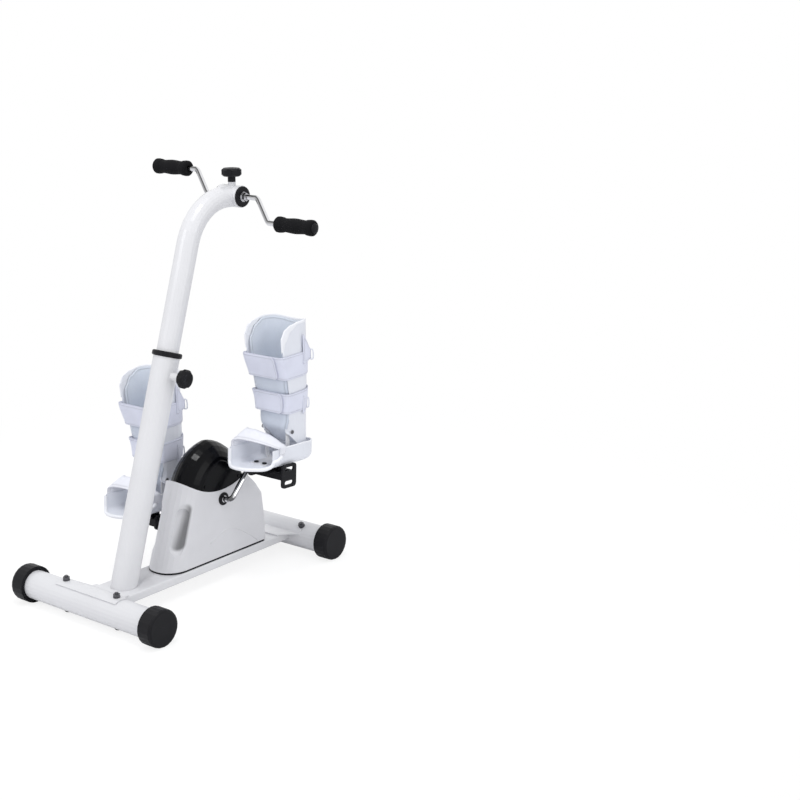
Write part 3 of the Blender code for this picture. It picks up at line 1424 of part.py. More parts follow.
def instep_strap(side_name, material):
    """The padded flap over the instep, lower at its outer side, its ends outside the shell's walls."""
    half = FOOT_HALF_WIDTH + SEAT + INSTEP_THICKNESS

    def point(row, column):
        across = 2 * column - 1
        wrap = math.radians(INSTEP_WRAP) * across
        front = max(INSTEP_LIMIT, INSTEP_FRONT + INSTEP_SWEEP * across)
        along = front + (INSTEP_REAR - front) * row
        x = half * math.copysign(abs(math.sin(wrap)) ** 0.65, wrap)
        if abs(wrap) > math.pi / 2:
            x = math.copysign(half, wrap)
        front_rise = INSTEP_FRONT_RISE - INSTEP_TWIST * across
        rise = front_rise + (INSTEP_REAR_RISE - front_rise) * (1 - (1 - row) ** 2)
        height = math.copysign(abs(math.cos(wrap)) ** 0.45, math.cos(wrap))
        return Vector((x, along, INSTEP_LIFT + rise * height))

    return [surface(f"{side_name}_instep_strap", point, 5, 20, INSTEP_THICKNESS, material, flip=True)]


def stirrup(side_name, material):
    """The steel strap in the foot shell, up both sides to the ankle rivets, which are part of it."""
    name = f"{side_name}_ankle_stirrup"
    floor = SOLE_HEIGHT + SHELL_WALL + SEAT
    ankle_y, ankle_z = ANKLE
    half = STIRRUP_HALF_WIDTH
    top = ankle_z + STIRRUP_WIDTH / 2
    corner = STIRRUP_CORNER
    inner_corner = corner - STIRRUP_THICKNESS
    left = [(-half, top), *arc((-half + corner, floor + corner), corner, 180, 270, 5)]
    outer = left + [(-x, z) for x, z in reversed(left)]
    inner_half = half - STIRRUP_THICKNESS
    lining = [
        (-inner_half, top),
        *arc((-half + corner, floor + corner), inner_corner, 180, 270, 5),
    ]
    lining += [(-x, z) for x, z in reversed(lining)]
    band = slab(
        name, (outer + list(reversed(lining)),), STIRRUP_WIDTH, material,
        (0, ankle_y, 0), (math.pi / 2, 0, 0),
    )
    plate_length = ankle_y - SOLE_BOLT_SETBACK + 0.009
    plate = box(
        name + "_plate", (0.046, plate_length, STIRRUP_THICKNESS),
        (0, ankle_y - plate_length / 2, floor + STIRRUP_THICKNESS / 2),
    )
    pieces = [band, plate]
    combine(band, plate, "UNION")
    round_top = slab(
        name + "_round_top",
        ([(ankle_y - 0.03, ankle_z)] + arc(ANKLE, STIRRUP_WIDTH / 2, 180, 0, 8)
         + [(ankle_y + 0.03, ankle_z), (ankle_y + 0.03, ankle_z + 0.03), (ankle_y - 0.03, ankle_z + 0.03)],),
        0.2, None, (0, 0, 0), SIDEWAYS,
    )
    combine(band, round_top)
    pieces.append(round_top)
    wall = calf_wall_at_ankle()
    for i, across in enumerate((-1, 1)):
        head_start = wall + RIVET_PLAY
        shoulder = wall - SHELL_WALL - RIVET_SHOULDER_PLAY
        profile = [
            (0, head_start + RIVET_HEAD_HEIGHT),
            (RIVET_HEAD_RADIUS * 0.6, head_start + RIVET_HEAD_HEIGHT),
            (RIVET_HEAD_RADIUS, head_start), (RIVET_RADIUS, head_start),
            (RIVET_RADIUS, shoulder), (RIVET_SHOULDER_RADIUS, shoulder),
            (RIVET_SHOULDER_RADIUS, half - STIRRUP_THICKNESS / 2), (0, half - STIRRUP_THICKNESS / 2),
        ]
        if across < 0:
            profile = [(radius, -height) for radius, height in reversed(profile)]
        rivet = turned(f"{name}_rivet_{i}", profile, None, (0, ankle_y, ankle_z), ALONG_X, sides=12)
        combine(band, rivet, "UNION")
        pieces.append(rivet)
        hole = drum(
            f"{name}_hole_{i}", SOLE_BOLT_RADIUS + SEAT, 0.05,
            (across * SOLE_BOLT_OFFSET, SOLE_BOLT_SETBACK, SOLE_HEIGHT), sides=12,
        )
        combine(band, hole)
        pieces.append(hole)
    return pieces


# Calf support, in a frame on the ankle's axis


def calf_section(share, height, out=0.0):
    """A point of the calf support's open section; share runs from -1 through the back at 0 to 1."""
    half = between(CALF_HALF_WIDTH, height) + out
    back = between(CALF_BACK_DEPTH, height) + out
    reach = between(CALF_REACH, height)
    close = between(CALF_CLOSE, height)
    away = abs(share)
    if away < CALF_BACK_SHARE:
        angle = math.pi / 2 * away / CALF_BACK_SHARE
        x = half * math.sin(angle)
        y = CALF_BACK_CENTRE + back * math.cos(angle)
    else:
        forward = (away - CALF_BACK_SHARE) / (1 - CALF_BACK_SHARE)
        x = half * (1 - close * forward ** 6)
        y = CALF_BACK_CENTRE - reach * forward
    return Vector((math.copysign(x, share), y, height))


def calf_wall_at_ankle():
    """How far out the calf support's outer face is at the ankle axis."""
    reach = between(CALF_REACH, 0)
    forward = CALF_BACK_CENTRE / reach
    return between(CALF_HALF_WIDTH, 0) * (1 - between(CALF_CLOSE, 0) * forward ** 6)


def calf_height(row, share):
    """The height of a row of the calf support, between its slanted bottom edge and its wavy top."""
    slanted = CALF_BOTTOM_FRONT - CALF_BOTTOM_SLOPE * calf_section(share, 0).y
    bottom = max(CALF_BOTTOM, slanted)
    top = between(CALF_TOP, abs(share))
    return bottom + (top - bottom) * row


def calf_shell(side_name, material):
    """The moulded support behind the calf, open in front, with holes for the ankle rivets."""
    name = f"{side_name}_calf_shell"

    def point(row, column):
        share = 2 * column - 1
        return calf_section(share, calf_height(row, share))

    shell = surface(name, point, 8, 20, SHELL_WALL, material)
    hole = drum(name + "_rivet_hole", RIVET_RADIUS + SEAT, 0.2, (0, 0, 0), rotation=ALONG_X, sides=12)
    combine(shell, hole)
    return [shell, hole]


def calf_liner(side_name, material):
    """The foam lining inside the calf shell."""
    def point(row, column):
        share = (2 * column - 1) * LINER_COVER
        top = calf_height(1, share) - 0.006
        return calf_section(share, LINER_BOTTOM + (top - LINER_BOTTOM) * row, -SHELL_WALL - LINER_GAP)

    return [surface(f"{side_name}_calf_liner", point, 6, 18, LINER_THICKNESS, material)]


def shin_pad(side_name, material):
    """The tongue over the shin, in front of the shell's edges and behind the straps."""
    def point(row, column):
        height = PAD_BOTTOM + (PAD_TOP - PAD_BOTTOM) * row
        across = 2 * column - 1
        half = between(CALF_HALF_WIDTH, height) - PAD_SIDE
        front = min(
            between(CALF_REACH, height) + STRAP_FRONT - STRAP_THICKNESS - PAD_GAP,
            PAD_FOOT_REACH + PAD_SLOPE * (height - PAD_BOTTOM),
        )
        return Vector((half * across, CALF_BACK_CENTRE - front + PAD_ROUNDING * across ** 4, height))

    return [surface(f"{side_name}_shin_pad", point, 7, 10, PAD_THICKNESS, material, flip=True)]


def strap_section(height):
    """The path of a strap round the calf support: back, side, round corner and flat front."""
    out = STRAP_GAP + STRAP_THICKNESS
    half = between(CALF_HALF_WIDTH, height) + out
    back = between(CALF_BACK_DEPTH, height) + out
    front = between(CALF_REACH, height) + STRAP_FRONT
    points = [
        (half * math.sin(math.pi / 2 * i / 8), CALF_BACK_CENTRE + back * math.cos(math.pi / 2 * i / 8))
        for i in range(9)
    ]
    corner = (half - STRAP_CORNER, CALF_BACK_CENTRE - front + STRAP_CORNER)
    points += arc(corner, STRAP_CORNER, 0, -90, 4)
    points += [(0, CALF_BACK_CENTRE - front)]
    return points + [(-x, y) for x, y in reversed(points[1:-1])] + [points[0]]


def calf_strap(side_name, which, heights, material):
    """A strap round the calf support."""
    low, high = heights
    count = len(strap_section(low)) - 1

    def point(row, column):
        height = low + (high - low) * row
        x, y = strap_section(height)[round(column * count)]
        return Vector((x, y, height))

    name = f"{side_name}_{which}_strap"
    return [surface(name, point, 1, count, STRAP_THICKNESS, material, closed=True)]


def leg_support(side_name, side, crank, white, black, foam, webbing):
    """A pedal with its foot shell, and the calf support hinged to it at the ankle."""
    centre = pedal_centre(side) + Vector((side * BOOT_OFFSET, 0, 0))
    foot_frame = axis_empty(f"{side_name}_pedal_axis", centre, (-math.radians(TOE_UP), 0, 0))
    pieces = pedal(side_name, side, black)
    pieces += foot_shell(side_name, white)
    pieces += instep_strap(side_name, webbing)
    pieces += stirrup(side_name, white)
    for piece in pieces:
        piece.parent = foot_frame
    lean = math.radians(TOE_UP + CALF_LEAN)
    calf_frame = axis_empty(f"{side_name}_ankle_axis", (0, *ANKLE), (lean, 0, 0), foot_frame)
    pieces = calf_shell(side_name, white)
    pieces += calf_liner(side_name, foam)
    pieces += shin_pad(side_name, foam)
    pieces += calf_strap(side_name, "upper", UPPER_STRAP, webbing)
    pieces += calf_strap(side_name, "lower", LOWER_STRAP, webbing)
    for piece in pieces:
        piece.parent = calf_frame
    carried(foot_frame, crank)


def main():
    """Builds the whole exerciser."""
    clear_scene()
    white = finish("white paint", (0.86, 0.86, 0.87), 0.0, 0.35)
    shroud = finish("white moulded plastic", (0.82, 0.82, 0.83), 0.0, 0.4)
    black = finish("black plastic", (0.02, 0.02, 0.022), 0.0, 0.45)
    gloss = finish("gloss black plastic", (0.012, 0.012, 0.015), 0.0, 0.08)
    chrome = finish("chrome", (0.78, 0.78, 0.80), 1.0, 0.08)
    iron = finish("dark steel", (0.16, 0.16, 0.17), 1.0, 0.45)
    rubber = finish("rubber", (0.02, 0.02, 0.02), 0.0, 0.8)
    grip = finish("foam grip", (0.025, 0.025, 0.03), 0.0, 0.9)
    boot = finish("white boot plastic", (0.84, 0.85, 0.90), 0.0, 0.35)
    foam = finish("grey lining", (0.62, 0.64, 0.72), 0.0, 0.85)
    webbing = finish("white strap", (0.84, 0.85, 0.92), 0.0, 0.7)
    base_frame(white, black, iron)
    column_tube(white)
    column_collar(black)
    clamp_knob(black)
    upper_works(white, black, chrome, grip)
    crank = drive_unit(shroud, black, gloss, chrome, iron, rubber)
    for side_name, side in SIDES.items():
        leg_support(side_name, side, crank, boot, black, foam, webbing)


main()
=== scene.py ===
"""Looks for a pedal exerciser with a hand crank, foot shells and hinged leg supports."""

import json
import logging
import math
from dataclasses import dataclass
from enum import Enum
from typing import Any, Callable, Iterable, Sequence

import bmesh
import bpy
from mathutils import Matrix, Vector, noise


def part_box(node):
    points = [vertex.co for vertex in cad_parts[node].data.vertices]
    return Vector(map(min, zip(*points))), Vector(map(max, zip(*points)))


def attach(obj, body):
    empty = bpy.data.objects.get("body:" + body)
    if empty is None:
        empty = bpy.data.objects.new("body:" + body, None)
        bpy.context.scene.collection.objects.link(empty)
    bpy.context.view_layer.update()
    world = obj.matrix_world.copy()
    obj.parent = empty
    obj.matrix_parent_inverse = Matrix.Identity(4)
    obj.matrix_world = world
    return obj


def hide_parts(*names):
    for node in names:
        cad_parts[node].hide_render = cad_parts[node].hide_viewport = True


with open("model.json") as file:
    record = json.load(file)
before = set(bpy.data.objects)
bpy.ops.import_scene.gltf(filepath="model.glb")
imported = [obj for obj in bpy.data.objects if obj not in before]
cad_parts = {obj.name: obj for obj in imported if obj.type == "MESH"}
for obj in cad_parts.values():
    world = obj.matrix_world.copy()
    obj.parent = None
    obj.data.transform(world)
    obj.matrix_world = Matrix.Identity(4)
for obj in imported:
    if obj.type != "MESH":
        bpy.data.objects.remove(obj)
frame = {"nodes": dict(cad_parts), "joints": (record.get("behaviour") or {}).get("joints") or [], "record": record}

LOG = logging.getLogger("pedal_exerciser")
Table = Sequence[tuple[float, float]]
Place = Callable[[float, float], Vector]
Depth = Callable[[float, float], float]
SEAT = 0.0003


class Side(Enum):
    """The side of the machine that a piece is on, with its sign along X."""

    LEFT = 1
    RIGHT = -1

    @property
    def word(self) -> str:
        """The side's name in node and body names."""
        return self.name.lower()


@dataclass(frozen=True)
class StrapForm:
    """A strap's sizes, with its heights above the ankle."""

    low: float
    high: float
    stop_short: float
    tail_low: float
    tail_high: float
    ring_height: float
    ring_stand: float


class Level(Enum):
    """The two strap levels of a leg support."""

    UPPER = StrapForm(0.129, 0.186, 0.0165, 0.156, 0.230, 0.174, 0.012)
    LOWER = StrapForm(0.046, 0.095, 0.0125, 0.036, 0.082, 0.058, 0.003)

    @property
    def word(self) -> str:
        """The level's name in node names."""
        return self.name.lower()


class Signal:
    """A shader socket on which Python's operators add Math nodes."""

    def __init__(self, tree: "Tree", socket: Any) -> None:
        """Keeps the socket and the tree that it is in."""
        self.tree = tree
        self.socket = socket

    def math(self, operation: str, *others: Any) -> "Signal":
        """Adds a Math node that takes this value first.

        Args:
            operation: The Math node's operation.
            others: Numbers or signals for its other sockets.

        Returns:
            The node's value.
        """
        values = {place: value for place, value in enumerate((self, *others))}
        return self.tree.add("ShaderNodeMath", {"operation": operation}, values)

    def __add__(self, other: Any) -> "Signal":
        """Adds."""
        return self.math("ADD", other)

    __radd__ = __add__

    def __mul__(self, other: Any) -> "Signal":
        """Multiplies."""
        return self.math("MULTIPLY", other)

    __rmul__ = __mul__

    def __sub__(self, other: Any) -> "Signal":
        """Subtracts."""
        return self.math("SUBTRACT", other)

    def __rsub__(self, other: Any) -> "Signal":
        """Subtracts from a number."""
        return self.math("MULTIPLY", -1.0).math("ADD", other)

    def __truediv__(self, other: float) -> "Signal":
        """Divides by a number."""
        return self.math("MULTIPLY", 1.0 / other)

    def __pow__(self, other: Any) -> "Signal":
        """Raises to a power."""
        return self.math("POWER", other)

    def wave(self, period: float) -> "Signal":
        """A sine wave of that period, from -1 to 1."""
        return (self * (2 * math.pi / period)).math("SINE")

    def step(self, low: float, high: float) -> "Signal":
        """Eases from 0 at low to 1 at high."""
        settings = {"interpolation_type": "SMOOTHSTEP", "clamp": True}
        return self.tree.add("ShaderNodeMapRange", settings, {0: self, 1: low, 2: high})

    def band(self, centre: float, half: float) -> "Signal":
        """1 near centre, easing to 0 at half either side."""
        return 1 - (self - centre).math("ABSOLUTE").step(half / 2, half)


class Tree:
    """The nodes of one material, or of the world."""

    def __init__(self, name: str, for_world: bool = False) -> None:
        """Makes the material or world, with no nodes in it yet."""
        owners = bpy.data.worlds if for_world else bpy.data.materials
        self.owner = owners.new(name)
        self.owner.use_nodes = True
        self.nodes = self.owner.node_tree.nodes
        self.links = self.owner.node_tree.links
        self.nodes.clear()

    def add(self, kind: str, settings: dict[str, Any], sockets: dict[Any, Any], out: Any = 0) -> Signal:
        """Adds any node.

        Args:
            kind: The node's type.
            settings: Its properties, set before its sockets.
            sockets: Numbers, colours or signals by the socket's name or place.
            out: The name or place of the output that is wanted, or None at the end of a tree.

        Returns:
            That output.
        """
        node = self.nodes.new(kind)
        for key, value in settings.items():
            setattr(node, key, value)
        for key, value in sockets.items():
            if isinstance(value, Signal):
                self.links.new(value.socket, node.inputs[key])
            else:
                node.inputs[key].default_value = value
        return Signal(self, None if out is None else node.outputs[out])

    def place(self, output: str = "Object") -> Signal:
        """The object's coordinates, or its UV map's."""
        return self.add("ShaderNodeTexCoord", {}, {}, output)

    def speckle(self, scale: float, detail: float = 2.0, where: Signal | None = None) -> Signal:
        """Noise from about 0 to 1.

        Args:
            scale: Cells to the metre.
            detail: The noise's detail.
            where: The coordinates it reads, the object's by default.

        Returns:
            The noise's value.
        """
        sockets = {"Vector": where or self.place(), "Scale": scale, "Detail": detail, "Roughness": 0.6}
        return self.add("ShaderNodeTexNoise", {}, sockets, 0)

    def cells(self, scale: float) -> Signal:
        """The distance to the nearest of scattered points."""
        return self.add("ShaderNodeTexVoronoi", {}, {"Vector": self.place(), "Scale": scale}, "Distance")

    def parts(self, vector: Signal) -> tuple[Signal, Signal, Signal]:
        """A vector's three values."""
        first = self.add("ShaderNodeSeparateXYZ", {}, {0: vector}, 0)
        outputs = first.socket.node.outputs
        return first, Signal(self, outputs[1]), Signal(self, outputs[2])

    def blend(self, share: Signal, first: Any, second: Any) -> Signal:
        """Mixes two colours, the second by the share."""
        return self.add("ShaderNodeMix", {"data_type": "RGBA"}, {0: share, 6: first, 7: second}, 2)

    def bump(self, height: Signal, depth: float) -> Signal:
        """A normal from a height, its depth in metres."""
        return self.add("ShaderNodeBump", {}, {"Height": height, "Distance": depth, "Strength": 1.0})

    def surface(self, **sockets: Any) -> bpy.types.Material:
        """Ends the tree in a Principled shader.

        Args:
            sockets: Its sockets, with underscores for the spaces in their names.

        Returns:
            The finished material.
        """
        named = {key.replace("_", " "): value for key, value in sockets.items()}
        self.end("ShaderNodeOutputMaterial", self.add("ShaderNodeBsdfPrincipled", {}, named))
        return self.owner

    def end(self, kind: str, shader: Signal) -> None:
        """Links a shader to the output node of that kind."""
        self.add(kind, {}, {"Surface": shader}, None)


def shade(color: Sequence[float], share: float) -> tuple[float, float, float, float]:
    """A colour made lighter or darker by a share."""
    return (color[0] * share, color[1] * share, color[2] * share, 1.0)


@dataclass(frozen=True)
class PowderCoat:
    """Sprayed paint on steel, with a slight orange peel and a little handling wear."""

    color: tuple[float, float, float]
    roughness: float = 0.30
    peel_scale: float = 420.0
    peel_depth: float = 0.00006

    def dress(self, name: str) -> bpy.types.Material:
        """Builds the material."""
        tree = Tree(name)
        cloud = tree.speckle(7.0, 3.0).step(0.35, 0.7)
        color = tree.blend(cloud, shade(self.color, 1.0), shade(self.color, 0.97))
        peel = tree.speckle(self.peel_scale, 1.0)
        rough = tree.speckle(26.0, 4.0).step(0.3, 0.8) * 0.08 + self.roughness
        return tree.surface(
            Base_Color=color, Roughness=rough, Coat_Weight=0.25, Coat_Roughness=0.08,
            Specular_IOR_Level=0.45, Normal=tree.bump(peel, self.peel_depth),
        )


@dataclass(frozen=True)
class HandRecess:
    """Painted shade in the shroud's hand recess, a leaning slot with round ends that is darkest at its rear."""

    across: tuple[float, float, float] = (0.674, 0.739, -0.229)
    offset: float = 0.06222
    middle: float = 0.158
    half_length: float = 0.036
    slant: float = 0.15
    rear: tuple[float, float] = (-0.014, 0.010)
    edge: tuple[float, float] = (0.0125, 0.0205)
    least: float = 0.12
    tone: float = 0.30

    def darken(self, tree: Tree, color: Signal, paint: Sequence[float]) -> Signal:
        """Paints shade in the recess by darkening a colour there.

        Args:
            tree: The material's nodes.
            color: The colour outside it.
            paint: The plastic's own colour.

        Returns:
            The colour everywhere.
        """
        x, y, z = tree.parts(tree.place())
        right, back, up = self.across
        across = x.math("ABSOLUTE") * right + y * back + z * up + self.offset
        along = z - self.middle
        beyond = (along.math("ABSOLUTE") - self.half_length).math("MAXIMUM", 0.0)
        away = (across ** 2 + beyond ** 2).math("SQRT")
        rear = (across - along * self.slant).step(*self.rear)
        share = (1 - away.step(*self.edge)) * (rear * (1 - self.least) + self.least)
        return tree.blend(share, color, shade(paint, self.tone))


@dataclass(frozen=True)
class Moulding:
    """Injection-moulded plastic with a fine spark-eroded grain."""

    color: tuple[float, float, float]
    roughness: float = 0.42
    grain_scale: float = 1500.0
    grain_depth: float = 0.00004
    specular: float = 0.4
    tint: float = 0.96
    recess: HandRecess | None = None

    def dress(self, name: str) -> bpy.types.Material:
        """Builds the material."""
        tree = Tree(name)
        flow = tree.speckle(11.0, 3.0).step(0.3, 0.75)
        color = tree.blend(flow, shade(self.color, 1.0), shade(self.color, self.tint))
        if self.recess:
            # Painted shade in the hand recess.
            color = self.recess.darken(tree, color, self.color)
        grain = tree.speckle(self.grain_scale, 2.0)
        rough = tree.speckle(34.0, 3.0) * 0.10 + (self.roughness - 0.05)
        return tree.surface(
            Base_Color=color, Roughness=rough, Specular_IOR_Level=self.specular,
            Normal=tree.bump(grain, self.grain_depth),
        )


@dataclass(frozen=True)
class PolishedBlack:
    """Polished plastic with faint wiping marks in its gloss."""

    color: tuple[float, float, float] = (0.0022, 0.0024, 0.0034)
    roughness: float = 0.18

    def dress(self, name: str) -> bpy.types.Material:
        """Builds the material."""
        tree = Tree(name)
        smear = tree.speckle(14.0, 5.0).step(0.45, 0.8)
        dust = 1 - tree.cells(900.0).step(0.05, 0.16)
        color = tree.blend(dust * 0.12, shade(self.color, 1.0), (0.03, 0.03, 0.034, 1.0))
        return tree.surface(
            Base_Color=color, Roughness=smear * 0.05 + self.roughness, Specular_IOR_Level=0.12,
        )


@dataclass(frozen=True)
class Plated:
    """Plated or bare metal with fine marks from polishing, and a painted reflection: a dark band standing in for
    the reflected horizon.
    """

    color: tuple[float, float, float]
    roughness: float
    marks: float = 0.06
    mark_scale: float = 90.0
    pit_depth: float = 0.00001
    streak: float = 0.0
    streak_way: tuple[float, float, float] = (0.80, 0.0, 0.60)

    def dress(self, name: str) -> bpy.types.Material:
        """Builds the material."""
        tree = Tree(name)
        haze = tree.speckle(self.mark_scale, 5.0)
        color = tree.blend(haze.step(0.4, 0.8), shade(self.color, 1.0), shade(self.color, 0.9))
        # Painted reflection: darkens the metal in a band where its normal meets one direction at a set angle, as a
        # reflected horizon.
        aside = {"operation": "DOT_PRODUCT"}
        facing = tree.add("ShaderNodeVectorMath", aside, {0: tree.place("Normal"), 1: self.streak_way}, 1)
        painted_horizon = facing.band(0.46, 0.40) * self.streak
        color = tree.blend(painted_horizon, color, shade(self.color, 0.10))
        pits = tree.speckle(self.mark_scale * 12, 2.0)
        return tree.surface(
            Base_Color=color, Metallic=1.0, Roughness=haze * self.marks + self.roughness,
            Normal=tree.bump(pits, self.pit_depth),
        )


@dataclass(frozen=True)
class Foam:
    """Closed-cell foam with small pores, with painted shade in them."""

    color: tuple[float, float, float]
    pore_scale: float = 1300.0
    pore_depth: float = 0.00025

    def dress(self, name: str) -> bpy.types.Material:
        """Builds the material."""
        tree = Tree(name)
        pores = tree.cells(self.pore_scale)
        # Painted shade: the pores are darker than the foam between them, which is lighter.
        color = tree.blend(pores.step(0.1, 0.5), shade(self.color, 0.6), shade(self.color, 1.1))
        height = pores + tree.speckle(210.0, 2.0) * 0.5
        return tree.surface(
            Base_Color=color, Roughness=0.82, Specular_IOR_Level=0.14,
            Normal=tree.bump(height, self.pore_depth),
        )


@dataclass(frozen=True)
class Cloth:
    """Woven cloth that follows the piece's UV map in metres, with a stitched seam by its edges, painted shade in
    the seam's groove and painted shade along the edges.

    The attribute "edge" is the distance to the cloth's nearest edge.
    """

    color: tuple[float, float, float]
    thread: float = 0.0011
    weave_depth: float = 0.00012
    seam: float = 0.0042
    stitch: float = 0.0034
    sheen: float = 0.25
    nap: float = 0.0

    def dress(self, name: str) -> bpy.types.Material:
        """Builds the material."""
        tree = Tree(name)
        across, along, _ = tree.parts(tree.place("UV"))
        weave = across.wave(self.thread) * along.wave(self.thread)
        fuzz = tree.speckle(2600.0, 2.0) * (0.6 + self.nap) + tree.speckle(160.0, 3.0) * 0.5
        edge = tree.add("ShaderNodeAttribute", {"attribute_name": "edge"}, {}, "Fac")
        groove = edge.band(self.seam, 0.0011)
        run = (across + along).wave(self.stitch).step(-0.4, 0.1)
        stitches = edge.band(self.seam, 0.0006) * run
        worn = tree.speckle(24.0, 3.0).step(0.35, 0.75)
        base = tree.blend(worn, shade(self.color, 1.0), shade(self.color, 0.95))
        # Painted shade: the cloth darkens towards its edges, within 1.5 mm of them.
        base = tree.blend((1 - edge.step(0.0002, 0.0015)) * 0.5, base, shade(self.color, 0.62))
        # Painted shade in the seam's groove; the stitches keep the cloth's own colour.
        color = tree.blend(groove * 0.5 - stitches * 0.5, base, shade(self.color, 0.72))
        height = weave * 0.5 + fuzz - groove * 3.0 + stitches * 4.0
        return tree.surface(
            Base_Color=color, Roughness=0.86, Specular_IOR_Level=0.25, Sheen_Weight=self.sheen,
            Sheen_Roughness=0.5, Normal=tree.bump(height, self.weave_depth),
        )


FINISHES = {
    "white_paint": PowderCoat((0.74, 0.74, 0.76)),
    # The white plastic carries painted shade in the shroud's hand recess.
    "white_plastic": Moulding((0.70, 0.70, 0.725), 0.36, 900.0, recess=HandRecess()),
    "black_plastic": Moulding((0.008, 0.008, 0.010), grain_depth=0.00005, specular=0.16),
    "gloss_black": PolishedBlack(),
    # The chrome carries a painted dark reflection band.
    "chrome": Plated((0.78, 0.78, 0.80), 0.07, streak=0.92),
    "dark_steel": Plated((0.13, 0.13, 0.14), 0.34, marks=0.10),
    "iron": Plated((0.16, 0.155, 0.15), 0.55, marks=0.14, mark_scale=300.0, pit_depth=0.0003),
    "rubber": Moulding((0.014, 0.014, 0.014), 0.68, 800.0, 0.00009, specular=0.2),
    "foam_grip": Foam((0.006, 0.006, 0.007)),
    "boot_plastic": Moulding((0.80, 0.82, 0.88), 0.38, 700.0, 0.00003, specular=0.35, tint=0.975),
    "lining": Cloth((0.62, 0.67, 0.77), 0.0016, 0.00016, 0.0055, 0.0038, sheen=0.45, nap=0.8),
    "strap": Cloth((0.76, 0.78, 0.90)),
    # Painted light: a lighter copy of the strap cloth for the instep cover.
    "bright_cloth": Cloth((0.88, 0.89, 0.95)),
    # Painted highlight: a lighter copy of the boot plastic for the rolled toe lip, heel rim and collar.
    "bright_edge": Moulding((0.90, 0.91, 0.95), 0.34, 700.0, 0.00003, specular=0.35, tint=0.985),
    # Painted light: a lighter copy of the lining cloth for the lining inside the leg support, where the shell
    # shades it.
    "inner_lining": Cloth((0.80, 0.85, 0.93), 0.0016, 0.00016, 0.0055, 0.0038, sheen=0.45, nap=0.8),
}


class Finisher:
    """Makes each finish once and puts it on the nodes and pieces."""

    def __init__(self) -> None:
        """Makes every finish."""
        self.made = {slot: finish.dress(f"{slot}_finish") for slot, finish in FINISHES.items()}

    def dress_nodes(self) -> None:
        """Gives each CAD node its slot's finish."""
        for part in frame["record"]["subparts"]:
            node = frame["nodes"][part["node"]]
            node.material_slots[0].material = self.made[part["material_slot"]]

    def dress(self, piece: bpy.types.Object, slot: str, finish: str) -> None:
        """Gives a new piece a finish, its slot's own unless another finish is given."""
        piece.data.materials.append(self.made[finish or slot])


def eased(stations: Table, place: float) -> float:
    """The value at a place, eased between the stations' (place, value) pairs.

    Args:
        stations: The pairs, in order of place.
        place: Where the value is wanted.

    Returns:
        The value there.
    """
    if place <= stations[0][0]:
        return stations[0][1]
    for (start, first), (end, second) in zip(stations, stations[1:]):
        if place <= end:
            share = (place - start) / (end - start)
            return first + (second - first) * share * share * (3 - 2 * share)
    return stations[-1][1]


def straight(stations: Table, place: float) -> float:
    """The value at a place on straight lines between (place, value) pairs."""
    for (start, first), (end, second) in zip(stations, stations[1:]):
        if place <= end:
            return first + (second - first) * (place - start) / (end - start)
    return stations[-1][1]


def along_path(path: Sequence[Vector], distance: float) -> Vector:
    """The point at a distance along a path of points."""
    for first, second in zip(path, path[1:]):
        step = (second - first).length
        if distance <= step:
            return first.lerp(second, distance / max(step, 1e-9))
        distance -= step
    return path[-1].copy()


def path_length(path: Sequence[Vector]) -> float:
    """The length of a path of points."""
    return sum((b - a).length for a, b in zip(path, path[1:]))


